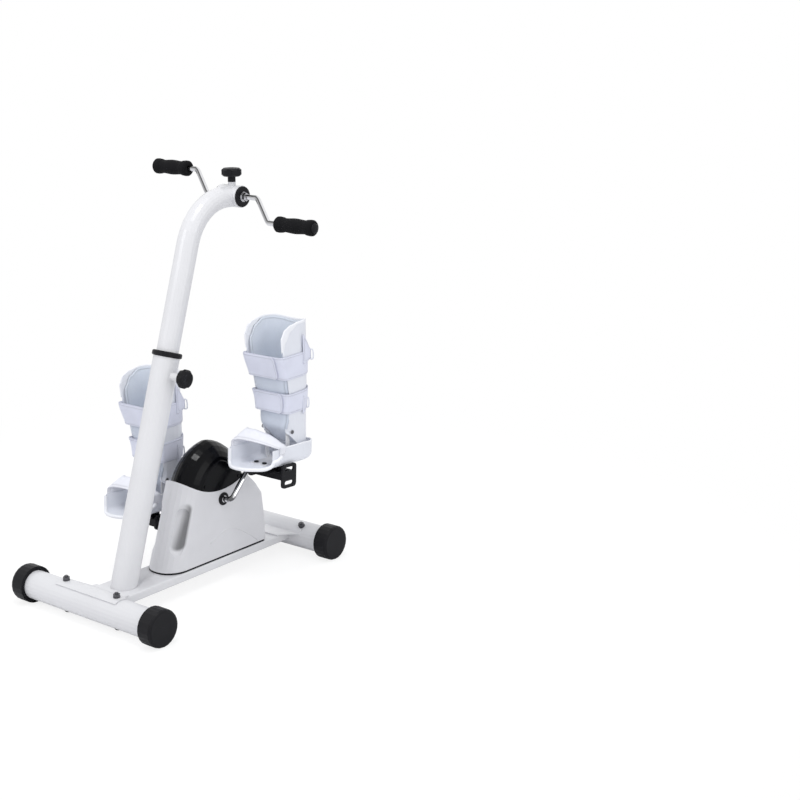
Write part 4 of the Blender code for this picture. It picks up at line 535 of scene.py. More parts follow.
class Maker:
    """Turns shapes into finished pieces that ride on a body."""

    def __init__(self, finisher: Finisher) -> None:
        """Keeps the finishes that the pieces take."""
        self.finisher = finisher

    def piece(
        self, name: str, shape: bmesh.types.BMesh, body: str, slot: str, levels: int = 0, finish: str = "",
    ) -> bpy.types.Object:
        """Makes a piece of a shape in the row frame.

        Args:
            name: The piece's name.
            shape: The shape, freed here.
            body: The CAD body it rides on.
            slot: The record's material slot.
            levels: Subdivision levels.
            finish: The finish, if it isn't the slot's own.

        Returns:
            The piece.
        """
        mesh = bpy.data.meshes.new(name)
        for face in shape.faces:
            face.smooth = True
        shape.to_mesh(mesh)
        shape.free()
        piece = bpy.data.objects.new(name, mesh)
        bpy.context.scene.collection.objects.link(piece)
        if levels:
            rounded = piece.modifiers.new("rounded", "SUBSURF")
            rounded.levels = levels
            rounded.render_levels = levels
        self.finisher.dress(piece, slot, finish)
        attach(piece, body)
        LOG.info("%s rides on %s", name, body)
        return piece

    def quilt(
        self, name: str, where: Place, thickness: Depth | float, body: str, slot: str,
        counts: tuple[int, int], closed: bool = False, rounding: float = 0.0022, flip: bool = False,
        finish: str = "",
    ) -> bpy.types.Object:
        """Makes a soft panel from its outer face, with rounded edges and its UV map in metres.

        Args:
            name: The piece's name.
            where: The outer face's point for shares u and v from 0 to 1.
            thickness: The thickness in metres, or a function of the shares.
            body: The CAD body it rides on.
            slot: The record's material slot.
            counts: The steps along u and v.
            closed: Whether u runs all the way round.
            rounding: How far from the edge the panel is full.
            flip: Whether the face's own normal points inwards.
            finish: The finish, if it isn't the slot's own.

        Returns:
            The piece.
        """
        shape = bmesh.new()
        for layer in ("u", "v", "edge"):
            shape.verts.layers.float.new(layer)
        shape.loops.layers.uv.new("UVMap")
        bmesh.ops.create_grid(shape, x_segments=counts[0], y_segments=counts[1], size=1)
        shares = [i / 40 for i in range(41)]
        width = path_length([where(share, 0.5) for share in shares])
        height = path_length([where(0.5, share) for share in shares[::2]])
        u_of, v_of, edge_of = (shape.verts.layers.float[layer] for layer in ("u", "v", "edge"))
        for vert in shape.verts:
            u = (vert.co.x + 1) / 2
            v = (1 - math.cos(math.pi * (vert.co.y + 1) / 2)) / 2
            gap = min(v, 1 - v) * height
            if not closed:
                gap = min(gap, min(u, 1 - u) * width)
            vert[u_of] = u
            vert[v_of] = v
            vert[edge_of] = gap
            vert.co = where(u, v)
        if closed:
            bmesh.ops.remove_doubles(shape, verts=shape.verts, dist=0.000002)
        if flip:
            bmesh.ops.reverse_faces(shape, faces=shape.faces)
        shape.normal_update()
        self.thicken(shape, thickness, closed, rounding)
        self.map_metres(shape, (width, height), closed)
        return self.piece(name, shape, body, slot, 1, finish)

    @staticmethod
    def thicken(shape: bmesh.types.BMesh, thickness: Depth | float, closed: bool, rounding: float) -> None:
        """Adds the inner face, pinches the two together at the edges and closes the rim.

        Args:
            shape: The outer face, with its shares and distances from the edge.
            thickness: The thickness in metres, or a function of the shares.
            closed: Whether the panel runs all the way round.
            rounding: How far from the edge the panel is full.
        """
        u_of, v_of, edge_of = (shape.verts.layers.float[layer] for layer in ("u", "v", "edge"))
        outer = shape.verts[:]
        edges = [edge for edge in shape.edges if edge.is_boundary]
        made = bmesh.ops.duplicate(shape, geom=shape.verts[:] + shape.edges[:] + shape.faces[:])
        inner_faces = [item for item in made["geom"] if isinstance(item, bmesh.types.BMFace)]
        for vert in outer:
            full = min(1.0, vert[edge_of] / rounding)
            pinch = 0.55 + 0.45 * math.sqrt(1 - (1 - full) ** 2)
            thick = thickness(vert[u_of], vert[v_of]) if callable(thickness) else thickness
            half = vert.normal * 0.5 * thick
            middle = vert.co - half
            vert.co = middle + half * pinch
            made["vert_map"][vert].co = middle - half * pinch
        bmesh.ops.reverse_faces(shape, faces=inner_faces)
        if closed:
            top = [edge for edge in edges if edge.verts[0][v_of] > 0.5]
            low = [edge for edge in edges if edge.verts[0][v_of] <= 0.5]
            rims = [top, low]
        else:
            rims = [edges]
        for rim in rims:
            bmesh.ops.bridge_loops(shape, edges=rim + [made["edge_map"][edge] for edge in rim])
        bmesh.ops.recalc_face_normals(shape, faces=shape.faces)

    @staticmethod
    def map_metres(shape: bmesh.types.BMesh, size: tuple[float, float], closed: bool) -> None:
        """Writes the UV map, with a metre of cloth to each unit."""
        u_of, v_of = (shape.verts.layers.float[layer] for layer in ("u", "v"))
        layer = shape.loops.layers.uv["UVMap"]
        for face in shape.faces:
            values = [(loop.vert[u_of], loop.vert[v_of]) for loop in face.loops]
            crosses = closed and max(u for u, _ in values) - min(u for u, _ in values) > 0.5
            for loop, (u, v) in zip(face.loops, values):
                if crosses and u < 0.5:
                    u += 1
                loop[layer].uv = (u * size[0], v * size[1])

    def wire(
        self, name: str, points: Sequence[Vector], radius: float, body: str, slot: str,
        closed: bool = False, finish: str = "",
    ) -> bpy.types.Object:
        """Makes a round wire, bead or rolled edge on a smooth curve through points.

        Args:
            name: The piece's name.
            points: The line's points in the row frame.
            radius: The wire's radius.
            body: The CAD body it rides on.
            slot: The record's material slot.
            closed: Whether the line joins up.
            finish: The finish, if it isn't the slot's own.

        Returns:
            The piece.
        """
        curve = bpy.data.curves.new(name + "_line", "CURVE")
        curve.dimensions = "3D"
        curve.bevel_depth = radius
        curve.bevel_resolution = 3
        curve.use_fill_caps = True
        curve.resolution_u = 3
        spline = curve.splines.new("BEZIER")
        spline.bezier_points.add(len(points) - 1)
        for knot, point in zip(spline.bezier_points, points):
            knot.co = point
            knot.handle_left_type = "AUTO"
            knot.handle_right_type = "AUTO"
        spline.use_cyclic_u = closed
        line = bpy.data.objects.new(name + "_line", curve)
        bpy.context.scene.collection.objects.link(line)
        bpy.context.view_layer.update()
        mesh = bpy.data.meshes.new_from_object(line.evaluated_get(bpy.context.evaluated_depsgraph_get()))
        shape = bmesh.new()
        shape.from_mesh(mesh)
        bpy.data.objects.remove(line)
        bpy.data.meshes.remove(mesh)
        bmesh.ops.remove_doubles(shape, verts=shape.verts, dist=0.00001)
        bmesh.ops.recalc_face_normals(shape, faces=shape.faces)
        return self.piece(name, shape, body, slot, 0, finish)

    def turned(
        self, name: str, profile: Iterable[tuple[float, float]], centre: Vector, body: str, slot: str,
        steps: int = 48,
    ) -> bpy.types.Object:
        """Spins a profile of (radius, place) pairs about a line along X.

        Args:
            name: The piece's name.
            profile: The pairs, with the place measured from the centre.
            centre: A point of the line.
            body: The CAD body it rides on.
            slot: The record's material slot.
            steps: Steps round the turn.

        Returns:
            The piece.
        """
        shape = bmesh.new()
        verts = [shape.verts.new((place, 0, radius)) for radius, place in profile]
        edges = [shape.edges.new(pair) for pair in zip(verts, verts[1:])]
        bmesh.ops.spin(
            shape, geom=verts + edges, cent=(0, 0, 0), axis=(1, 0, 0), angle=2 * math.pi,
            steps=steps, use_merge=True,
        )
        bmesh.ops.remove_doubles(shape, verts=shape.verts, dist=0.000005)
        bmesh.ops.recalc_face_normals(shape, faces=shape.faces)
        bmesh.ops.translate(shape, verts=shape.verts, vec=centre)
        return self.piece(name, shape, body, slot)


@dataclass(frozen=True)
class CalfForm:
    """The leg support's section by height above the ankle, as the CAD gives it."""

    half_width: Table = (
        (-0.045, 0.0400), (-0.010, 0.0420), (0.030, 0.0480), (0.120, 0.0540), (0.180, 0.0565),
        (0.260, 0.0580),
    )
    back_depth: Table = (
        (-0.045, 0.0545), (-0.020, 0.0545), (0.030, 0.0500), (0.100, 0.0530), (0.260, 0.0550),
    )
    reach: Table = (
        (-0.045, 0.0365), (0.010, 0.0365), (0.040, 0.0335), (0.070, 0.0330), (0.120, 0.0420),
        (0.190, 0.0575), (0.260, 0.0600),
    )
    close: Table = ((0.000, 0.20), (0.035, 0.10), (0.070, 0.00))
    top: Table = ((0.00, 0.246), (0.45, 0.257), (0.62, 0.257), (0.80, 0.245), (0.93, 0.222), (1.00, 0.200))
    back_share: float = 0.58
    centre: float = 0.0275
    wall: float = 0.003
    bottom: float = -0.043
    bottom_front: float = -0.0097
    bottom_slope: float = 1.04
    strap_gap: float = 0.0009
    strap_thickness: float = 0.0025
    strap_front: float = 0.0125
    strap_corner: float = 0.012

    def section(self, share: float, height: float, out: float = 0.0) -> Vector:
        """A point of the open section.

        Args:
            share: From -1 at one front edge through the back at 0 to 1.
            height: Above the ankle.
            out: How far outside the shell's outer face.

        Returns:
            The point, from the ankle.
        """
        half = eased(self.half_width, height) + out
        back = eased(self.back_depth, height) + out
        away = abs(share)
        if away < self.back_share:
            angle = math.pi / 2 * away / self.back_share
            x = half * math.sin(angle)
            y = self.centre + back * math.cos(angle)
        else:
            forward = (away - self.back_share) / (1 - self.back_share)
            x = half * (1 - eased(self.close, height) * forward ** 6)
            y = self.centre - eased(self.reach, height) * forward
        return Vector((math.copysign(x, share), y, height))

    def top_at(self, share: float) -> float:
        """The height of the wavy top edge."""
        return eased(self.top, abs(share))

    def bottom_at(self, share: float) -> float:
        """The height of the slanted bottom edge."""
        return max(self.bottom, self.bottom_front - self.bottom_slope * self.section(share, 0).y)

    def strap_path(self, height: float, out: float = 0.0) -> list[Vector]:
        """A strap's outer path at a height, from the back round the +X side, front and -X side."""
        reach = self.strap_gap + self.strap_thickness + out
        half = eased(self.half_width, height) + reach
        back = eased(self.back_depth, height) + reach
        front = eased(self.reach, height) + self.strap_front + out
        quarter = [math.pi / 2 * i / 10 for i in range(11)]
        corner = self.strap_corner + out
        side = [Vector((half * math.sin(a), self.centre + back * math.cos(a), height)) for a in quarter]
        middle = Vector((half - corner, self.centre - front + corner, height))
        turn = [middle + Vector((corner * math.cos(a), -corner * math.sin(a), 0)) for a in quarter]
        path = side + turn
        return path + [Vector((-p.x, p.y, height)) for p in reversed(path)]


@dataclass(frozen=True)
class FootForm:
    """The foot shell's plan and edges from the pedal axis, as the CAD gives them."""

    half_width: float = 0.0512
    wall: float = 0.003
    sole: float = 0.0210
    corner: float = 0.016
    toe_length: float = 0.098
    toe_tip: float = -0.015
    toe_flare: float = 0.0030
    flare_start: float = 0.078
    inner_sweep: float = 0.018
    inner_span: float = 0.040
    outer_sweep: float = 0.063
    outer_span: float = 0.070
    heel_start: float = 0.042
    heel_length: float = 0.1145
    heel_fullness: float = 3.2
    heel_closure: float = 0.96
    wall_top: Table = (
        (-0.140, 0.0645), (-0.030, 0.0645), (0.000, 0.066), (0.060, 0.067), (0.100, 0.064), (0.140, 0.059),
    )
    lift: float = 0.0655
    front_rise: float = 0.013
    twist: float = 0.012
    rear_rise: Table = (
        (-1.000, 0.043), (-0.728, 0.044), (-0.550, 0.0445), (-0.400, 0.044), (-0.283, 0.0405),
        (-0.078, 0.0370), (0.091, 0.0275), (0.434, 0.0155), (0.865, 0.0120), (1.000, 0.0320),
    )
    rear: Table = (
        (-1.000, -0.012), (-0.728, -0.014), (-0.550, -0.024), (-0.283, -0.038), (-0.078, -0.031),
        (0.091, -0.0205), (0.434, -0.014), (0.865, -0.006), (1.000, -0.012),
    )
    front: Table = ((-1.000, -0.077), (-0.640, -0.077), (0.000, -0.054), (0.700, -0.032), (1.000, -0.027))
    front_end_rise: float = 0.036
    lip_end: Sequence[tuple[float, float, float]] = (
        (0.0530, -0.0370, 0.0400), (0.0545, -0.0300, 0.0440), (0.0555, -0.0235, 0.0500),
    )
    rim_start: float = -0.008
    wrap: float = 104.0
    side_fullness: float = 0.65
    top_fullness: float = 0.45
    end_start: float = 0.78
    end_span: float = 0.12
    cover_thickness: float = 0.003

    def half_at(self, along: float) -> float:
        """Half the shell's width at a place along the foot."""
        if along > self.heel_start:
            share = (along - self.heel_start) / (self.heel_length - self.heel_start) * self.heel_closure
            return self.half_width * math.sqrt(1 - share ** self.heel_fullness)
        flare = max(0.0, (-self.flare_start - along) / (self.toe_length - self.flare_start))
        return self.half_width + self.toe_flare * flare ** 2

    def toe_at(self, across: float) -> float:
        """How far forward the open toe reaches at a distance across the foot."""
        from_tip = across - self.toe_tip
        if from_tip < 0:
            return -self.toe_length + self.inner_sweep * (from_tip / self.inner_span) ** 2
        return -self.toe_length + self.outer_sweep * (from_tip / self.outer_span) ** 2.2

    def toe_line(self, inset: float) -> list[Vector]:
        """The middle of the wall's open toe edge, from one top corner under the sole to the other."""
        half = self.half_width - inset
        corner = self.corner - inset
        floor = self.sole + inset
        top = straight(self.wall_top, -self.toe_length) - inset - 0.002
        rows = [(half, top + (floor + corner - top) * i / 5) for i in range(5)]
        rows += [
            (half - corner + corner * math.cos(a), floor + corner - corner * math.sin(a))
            for a in (math.pi / 2 * i / 6 for i in range(7))
        ]
        rows += [((half - corner) * (1 - i / 4), floor) for i in range(1, 4)]
        line = [(-x, z) for x, z in rows] + [(0.0, floor)] + list(reversed(rows))
        points = []
        for x, z in line:
            y = self.toe_at(x)
            spread = self.half_at(y) / self.half_width
            points.append(Vector((x * spread, y, z)))
        return points[:-5] + [Vector(point) for point in self.lip_end]

    def rim_line(self, start: float) -> list[Vector]:
        """The middle of the wall's top edge, from start round the heel and back."""
        inset = self.wall / 2
        count = 14
        rows = [start + (self.heel_start - start) * i / 5 for i in range(5)]
        rows += [
            self.heel_start + (self.heel_length - self.heel_start) * math.sin(math.pi / 2 * i / count)
            for i in range(count + 1)
        ]
        side = [Vector((self.half_at(y) - inset, y, straight(self.wall_top, y))) for y in rows]
        side[-1].y -= inset
        return side + [Vector((-p.x, p.y, p.z)) for p in reversed(side)]

    def cover_point(self, u: float, v: float) -> Vector:
        """A point of the instep cover's outer face; u runs across the foot and v from front to rear."""
        across = 2 * u - 1
        half = self.half_width + SEAT + self.cover_thickness
        wrap = math.radians(self.wrap) * across
        front = straight(self.front, across)
        x = half * math.copysign(abs(math.sin(wrap)) ** self.side_fullness, wrap)
        if abs(wrap) > math.pi / 2:
            x = math.copysign(half, wrap)
        front_rise = self.front_rise - self.twist * across
        end = min(1.0, max(0.0, across - self.end_start) / self.end_span)
        front_rise += (self.front_end_rise - front_rise) * end
        rear_rise = straight(self.rear_rise, across)
        rear = straight(self.rear, across)
        rise = front_rise + (rear_rise - front_rise) * (1 - (1 - v) ** 2)
        height = math.copysign(abs(math.cos(wrap)) ** self.top_fullness, math.cos(wrap))
        return Vector((x, front + (rear - front) * v, self.lift + rise * height))


@dataclass(frozen=True)
class Boot:
    """A foot shell with its hinged leg support: lining, tongue, straps, rings and rolled edges."""

    side: Side
    calf: CalfForm = CalfForm()
    foot: FootForm = FootForm()
    toe_up: float = 3.0
    calf_lean: float = 2.0
    lip_radius: float = 0.0044
    rim_radius: float = 0.0019
    binding_radius: float = 0.0020
    flap_thickness: float = 0.0034
    flap_corner: float = 0.012
    ring_radius: float = 0.0016

    @property
    def foot_frame(self) -> Matrix:
        """The foot shell's own frame, on the pedal axis."""
        spot = joint_point(f"{self.side.word}_pedal_spin")
        return Matrix.Translation(spot) @ Matrix.Rotation(-math.radians(self.toe_up), 4, "X")

    @property
    def calf_frame(self) -> Matrix:
        """The leg support's own frame, on the ankle axis."""
        spot = joint_point(f"{self.side.word}_ankle")
        return Matrix.Translation(spot) @ Matrix.Rotation(math.radians(self.calf_lean), 4, "X")

    @property
    def foot_body(self) -> str:
        """The body of the foot shell."""
        return f"{self.side.word}_footrest"

    @property
    def calf_body(self) -> str:
        """The body of the leg support."""
        return f"{self.side.word}_calf_support"

    def build(self, maker: Maker) -> None:
        """Builds all the pieces of this side."""
        self.lining(maker)
        self.tongue(maker)
        for level in Level:
            self.strap(maker, level)
            self.flap(maker, level)
            self.ring_and_tail(maker, level)
        self.instep_cover(maker)
        self.collar(maker)
        self.rolled_edges(maker)
        self.rivets(maker)

    def lining(self, maker: Maker) -> None:
        """The padded lining inside the leg support, in sewn channels."""
        place = self.calf_frame
        cover, gap, top_margin, low_margin = 0.965, 0.0016, 0.001, 0.004
        thick, channels, at_seam, swell = 0.0038, 5, 0.72, 0.42

        def where(u: float, v: float) -> Vector:
            """The lining's face against the shell."""
            share = (2 * u - 1) * cover
            top = self.calf.top_at(share) - top_margin
            low = self.calf.bottom_at(share) + low_margin
            return place @ self.calf.section(share, low + (top - low) * v, -self.calf.wall - gap)

        def padding(u: float, v: float) -> float:
            """Fuller between the channels' seams."""
            channel = abs(math.sin(math.pi * channels * u)) ** 0.6
            return thick * (at_seam + swell * channel)

        # The lining takes the lighter copy of the lining cloth, painted light against the shade inside the shell.
        piece = maker.quilt(
            f"{self.side.word}_calf_lining", where, padding, self.calf_body, "lining", (64, 22), flip=True,
            finish="inner_lining",
        )
        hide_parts(f"{self.side.word}_calf_liner")

    def tongue(self, maker: Maker) -> None:
        """The padded tongue over the shin, fuller where no strap holds it."""
        place = self.calf_frame
        low, high, thick, behind_strap = -0.034, 0.150, 0.0035, 0.0006
        fold, foot_reach, slope, low_slope, rounding, puff = 0.0085, 0.0440, 0.75, 0.95, 0.0085, 0.0016
        tuck = ((-0.034, 0.0085), (0.000, 0.0065), (0.030, 0.0030), (0.150, 0.0030))
        free = ((0.030, 1), (0.044, 0), (0.096, 0), (0.106, 1), (0.117, 1), (0.128, 0))
        calf = self.calf

        def where(u: float, v: float) -> Vector:
            """The tongue's outer face, which folds back over the ankle."""
            height = low + (high - low) * v
            across = 2 * u - 1
            half = eased(calf.half_width, height) - eased(tuck, height)
            ahead = eased(calf.reach, height) + calf.strap_front - calf.strap_thickness - behind_strap
            front = min(ahead, foot_reach + (slope if height > fold else low_slope) * (height - fold))
            front += puff * eased(free, height) * (1 - across ** 4)
            return place @ Vector((half * across, calf.centre - front + rounding * across ** 6, height))

        piece = maker.quilt(
            f"{self.side.word}_shin_tongue", where, thick, self.calf_body, "lining", (40, 44),
        )
        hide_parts(f"{self.side.word}_shin_pad")

    def strap(self, maker: Maker, level: Level) -> None:
        """The strap's base, all the way round the leg support."""
        place = self.calf_frame
        form = level.value
        ripple_depth, ripples, shift = 0.00025, 45, Vector((0, 0, self.side.value * 7))

        def where(u: float, v: float) -> Vector:
            """The strap's outer face, with a slight ripple."""
            path = self.calf.strap_path(form.low + (form.high - form.low) * v)
            path.append(path[0])
            point = along_path(path, path_length(path) * (u % 1.0))
            ripple = ripple_depth * noise.noise(point * ripples + shift)
            outward = Vector((point.x, point.y - self.calf.centre, 0)).normalized()
            return place @ (point + outward * ripple)

        piece = maker.quilt(
            f"{self.side.word}_{level.word}_strap_base", where, self.calf.strap_thickness,
            self.calf_body, "strap", (88, 10), closed=True, rounding=0.0012, flip=True,
        )
        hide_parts(f"{self.side.word}_{level.word}_strap")

    def flap(self, maker: Maker, level: Level) -> None:
        """The strap's free end, lapped over its front with rounded corners."""
        place = self.calf_frame
        form = level.value
        inset, lift, start_depth = 0.0008, self.flap_thickness + 0.0002, 0.0024
        corner, curl_start, curl_depth = self.flap_corner, 0.9, 0.0009

        def where(u: float, v: float) -> Vector:
            """The flap's outer face, from the -X side across the front."""
            height = form.low + inset + (form.high - form.low - 2 * inset) * v
            side = self.calf.centre - start_depth
            path = [p for p in reversed(self.calf.strap_path(height, lift)) if p.x < 0 and p.y < side]
            half = eased(self.calf.half_width, height)
            path.append(Vector((half - form.stop_short, path[-1].y, height)))
            gap = min(v, 1 - v) * (form.high - form.low)
            short = corner - math.sqrt(corner ** 2 - (corner - gap) ** 2) if gap < corner else 0.0
            point = along_path(path, (path_length(path) - short) * u)
            curl = curl_depth * max(0.0, (u - curl_start) / (1 - curl_start)) ** 2
            return place @ (point - Vector((0, curl, 0)))

        maker.quilt(
            f"{self.side.word}_{level.word}_strap_flap", where, self.flap_thickness,
            self.calf_body, "strap", (64, 18), rounding=0.0010,
        )

    def beside_strap(self, angle: float, height: float, out: float) -> Vector:
        """A point of the leg support's side, by the angle from the back and how far out it is."""
        half = eased(self.calf.half_width, height) + out
        back = eased(self.calf.back_depth, height) + out
        return Vector((half * math.sin(angle), self.calf.centre + back * math.cos(angle), height))

    def ring_and_tail(self, maker: Maker, level: Level) -> None:
        """The ring at the rear of the +X side, with the strap's tail through it."""
        place = self.calf_frame
        form = level.value
        out = self.calf.strap_gap + self.calf.strap_thickness + 0.0012
        ring_angle, tail_angle, tab_angle = 1.0, math.radians(86), math.radians(28)
        half_tab, bow, thick = 0.0085, 0.003, 0.0018
        way = Vector((math.sin(ring_angle), math.cos(ring_angle), 0))
        ring = self.beside_strap(ring_angle, form.ring_height, 0.0) + way * form.ring_stand

        def tail(u: float, v: float) -> Vector:
            """The tail, from the side to the ring, where it is narrow."""
            half = (form.tail_high - form.tail_low) / 2 * (1 - u) + half_tab * u
            middle = (form.tail_low + form.tail_high) / 2 * (1 - u) + form.ring_height * u
            height = middle + (2 * v - 1) * half
            end = Vector((ring.x, ring.y, height))
            point = self.beside_strap(tail_angle, height, out).lerp(end, u)
            return place @ (point + way * bow * math.sin(math.pi * u) * (1 - u))

        def tab(u: float, v: float) -> Vector:
            """The tab that holds the ring, from the ring to the back."""
            height = form.ring_height + (2 * v - 1) * half_tab
            start = Vector((ring.x - 0.001, ring.y + 0.001, height))
            return place @ start.lerp(self.beside_strap(tab_angle, height, out), u)

        word = f"{self.side.word}_{level.word}"
        maker.quilt(f"{word}_strap_tail", tail, thick, self.calf_body, "strap", (14, 10), rounding=0.001)
        maker.quilt(f"{word}_ring_tab", tab, thick, self.calf_body, "strap", (12, 8), rounding=0.001)
        loop = [place @ (ring + way * width + Vector((0, 0, rise))) for width, rise in self.ring_outline()]
        maker.wire(f"{word}_strap_ring", loop, self.ring_radius, self.calf_body, "boot_plastic", closed=True)

    def ring_outline(self) -> list[tuple[float, float]]:
        """The ring's knots, two at each of its rounded corners."""
        half_width, half_height, inset = 0.0040, 0.0110, 0.75
        outline = []
        for across, up in ((1, 1), (1, -1), (-1, -1), (-1, 1)):
            for share in (inset, 1.0):
                other = 1 + inset - share
                wide, tall = (share, other) if across * up > 0 else (other, share)
                outline.append((half_width * across * wide, half_height * up * tall))
        return outline

    def collar(self, maker: Maker) -> None:
        """The rolled collar round the leg support's top, fuller at the wings than the shell's edge."""
        place = self.calf_frame
        calf = self.calf
        lap, reach, out, thick = 0.004, 1.04, 0.0008, 0.0046
        crest = ((0.00, 0.248), (0.45, 0.2585), (0.62, 0.2585), (0.80, 0.2545), (0.93, 0.248), (1.04, 0.228))

        def where(u: float, v: float) -> Vector:
            """The collar's outer face."""
            share = (2 * u - 1) * reach
            low = calf.top_at(share) - lap
            return place @ calf.section(share, low + (eased(crest, abs(share)) - low) * v, out)

        # The collar takes the lighter boot plastic, a painted highlight.
        maker.quilt(
            f"{self.side.word}_calf_collar", where, thick, self.calf_body, "boot_plastic", (84, 10),
            rounding=0.0026, flip=True, finish="bright_edge",
        )

    def instep_cover(self, maker: Maker) -> None:
        """The padded cover over the instep, with its ends outside the shell's walls."""
        place = self.foot_frame

        def where(u: float, v: float) -> Vector:
            """The cover's outer face."""
            return place @ self.foot.cover_point(u, v)

        def padding(u: float, v: float) -> float:
            """Fuller in the middle of the instep."""
            crown = max(0.0, math.sin(math.pi * u)) * max(0.0, math.sin(math.pi * v))
            return self.foot.cover_thickness * (1 + 0.5 * crown)

        # The cover takes the lighter copy of the strap cloth, painted light.
        piece = maker.quilt(
            f"{self.side.word}_instep_cover", where, padding, self.foot_body, "strap", (80, 18),
            rounding=0.0016, finish="bright_cloth",
        )
        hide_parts(f"{self.side.word}_instep_strap")

    def rolled_edges(self, maker: Maker) -> None:
        """The rolled toe lip, the rim round the heel and the bead round the leg support."""
        word = self.side.word
        foot = self.foot_frame
        toe = [foot @ p for p in self.foot.toe_line(self.foot.wall / 2)]
        # The toe lip and heel rim take the lighter boot plastic, a painted highlight.
        maker.wire(
            f"{word}_toe_lip", toe, self.lip_radius, self.foot_body, "boot_plastic", finish="bright_edge",
        )
        rim = [foot @ p for p in self.foot.rim_line(self.foot.rim_start)]
        maker.wire(
            f"{word}_heel_rim", rim, self.rim_radius, self.foot_body, "boot_plastic", finish="bright_edge",
        )
        calf = self.calf_frame
        inset = -self.calf.wall / 2
        edge = 0.998
        count = 30
        line = []
        for i in range(9):
            top = self.calf.top_at(1)
            line.append((-edge, top + (self.calf.bottom_at(-1) - top) * i / 8))
        for i in range(1, count + 1):
            share = edge * (2 * i / count - 1)
            line.append((share, self.calf.bottom_at(share)))
        line += [(edge, height) for _, height in reversed(line[:8])]
        points = [calf @ self.calf.section(share, height, inset) for share, height in line]
        maker.wire(f"{word}_calf_edge", points, self.binding_radius, self.calf_body, "boot_plastic")

    def rivets(self, maker: Maker) -> None:
        """The dark domed heads of the ankle rivets."""
        centre = joint_point(f"{self.side.word}_ankle")
        low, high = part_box(f"{self.side.word}_ankle_stirrup")
        radius, rise, skirt, base = 0.0046, 0.0012, 0.0016, 0.0018
        profile = [(0.0, rise), (radius * 0.45, rise * 0.85), (radius * 0.8, rise * 0.4), (radius, 0.0)]
        profile += [(radius, -skirt), (radius * 0.9, -base), (0.0, -base)]
        for end, face, way in (("outer", high.x, 1), ("inner", low.x, -1)):
            spot = Vector((face, centre.y, centre.z))
            shape = [(r, place * way) for r, place in profile]
            maker.turned(f"{self.side.word}_{end}_rivet_head", shape, spot, self.foot_body, "dark_steel", 32)


@dataclass(frozen=True)
class HandGrip:
    """A foam sleeve with beaded ends, a full middle and a plug in its end."""

    side: Side
    bore: float = 0.0065
    start: float = 0.1485
    length: float = 0.108
    radius: Table = (
        (0.00, 0.0150), (0.03, 0.0180), (0.08, 0.0183), (0.15, 0.0176), (0.22, 0.0156), (0.50, 0.0174),
        (0.78, 0.0156), (0.85, 0.0176), (0.92, 0.0183), (0.97, 0.0180), (1.00, 0.0150),
    )
    plug: Table = (
        (0.0, 0.0044), (0.0040, 0.0043), (0.0090, 0.0039), (0.0112, 0.0026), (0.0116, -0.0004),
        (0.0100, -0.0010), (0.0, -0.0010),
    )

    def build(self, maker: Maker) -> None:
        """Builds the sleeve on its own axis."""
        word = self.side.word
        centre = joint_point(f"{word}_grip_spin")
        centre.x = 0.0
        rows = 60
        profile = [(self.bore, self.start)]
        for i in range(rows + 1):
            share = i / rows
            profile.append((eased(self.radius, share), self.start + self.length * share))
        profile.append((self.bore, self.start + self.length))
        profile.append(profile[0])
        turned = [(radius, place * self.side.value) for radius, place in profile]
        piece = maker.turned(f"{word}_foam_sleeve", turned, centre, f"{word}_grip_sleeve", "foam_grip", 56)
        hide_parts(f"{word}_grip")
        face = self.start + self.length
        shape = [(radius, (face + place) * self.side.value) for radius, place in self.plug]
        maker.turned(f"{word}_grip_plug", shape, centre, f"{word}_grip_sleeve", "black_plastic", 32)


@dataclass(frozen=True)
class Shroud:
    """The arched rib in each side of the drive unit's cover."""

    face: float = 0.0496
    rib_radius: float = 0.0013
    arch: Table = ((0.010, 0.100), (0.070, 0.121), (0.126, 0.096), (0.168, 0.064))

    def build(self, maker: Maker) -> None:
        """Builds the rib on both sides."""
        for side in Side:
            points = [Vector((side.value * self.face, y, z)) for y, z in self.arch]
            maker.wire(f"{side.word}_shroud_rib", points, self.rib_radius, "base", "white_plastic")


def joint_point(name: str) -> Vector:
    """The point that a joint turns about."""
    return Vector(next(joint["pos_m"] for joint in frame["joints"] if joint["name"] == name))


@dataclass(frozen=True)
class Lamp:
    """A rectangular area lamp that points at the middle of the object."""

    name: str
    place: tuple[float, float, float]
    width: float
    length: float
    power: float
    target: tuple[float, float, float] = (0.0, 0.0, 0.45)

    def build(self) -> None:
        """Builds the lamp."""
        data = bpy.data.lights.new(self.name, "AREA")
        data.shape = "RECTANGLE"
        data.size = self.width
        data.size_y = self.length
        data.energy = self.power
        lamp = bpy.data.objects.new(self.name, data)
        lamp.location = self.place
        aim = Vector(self.target) - Vector(self.place)
        lamp.rotation_mode = "QUATERNION"
        lamp.rotation_quaternion = aim.to_track_quat("-Z", "Y")
        bpy.context.scene.collection.objects.link(lamp)


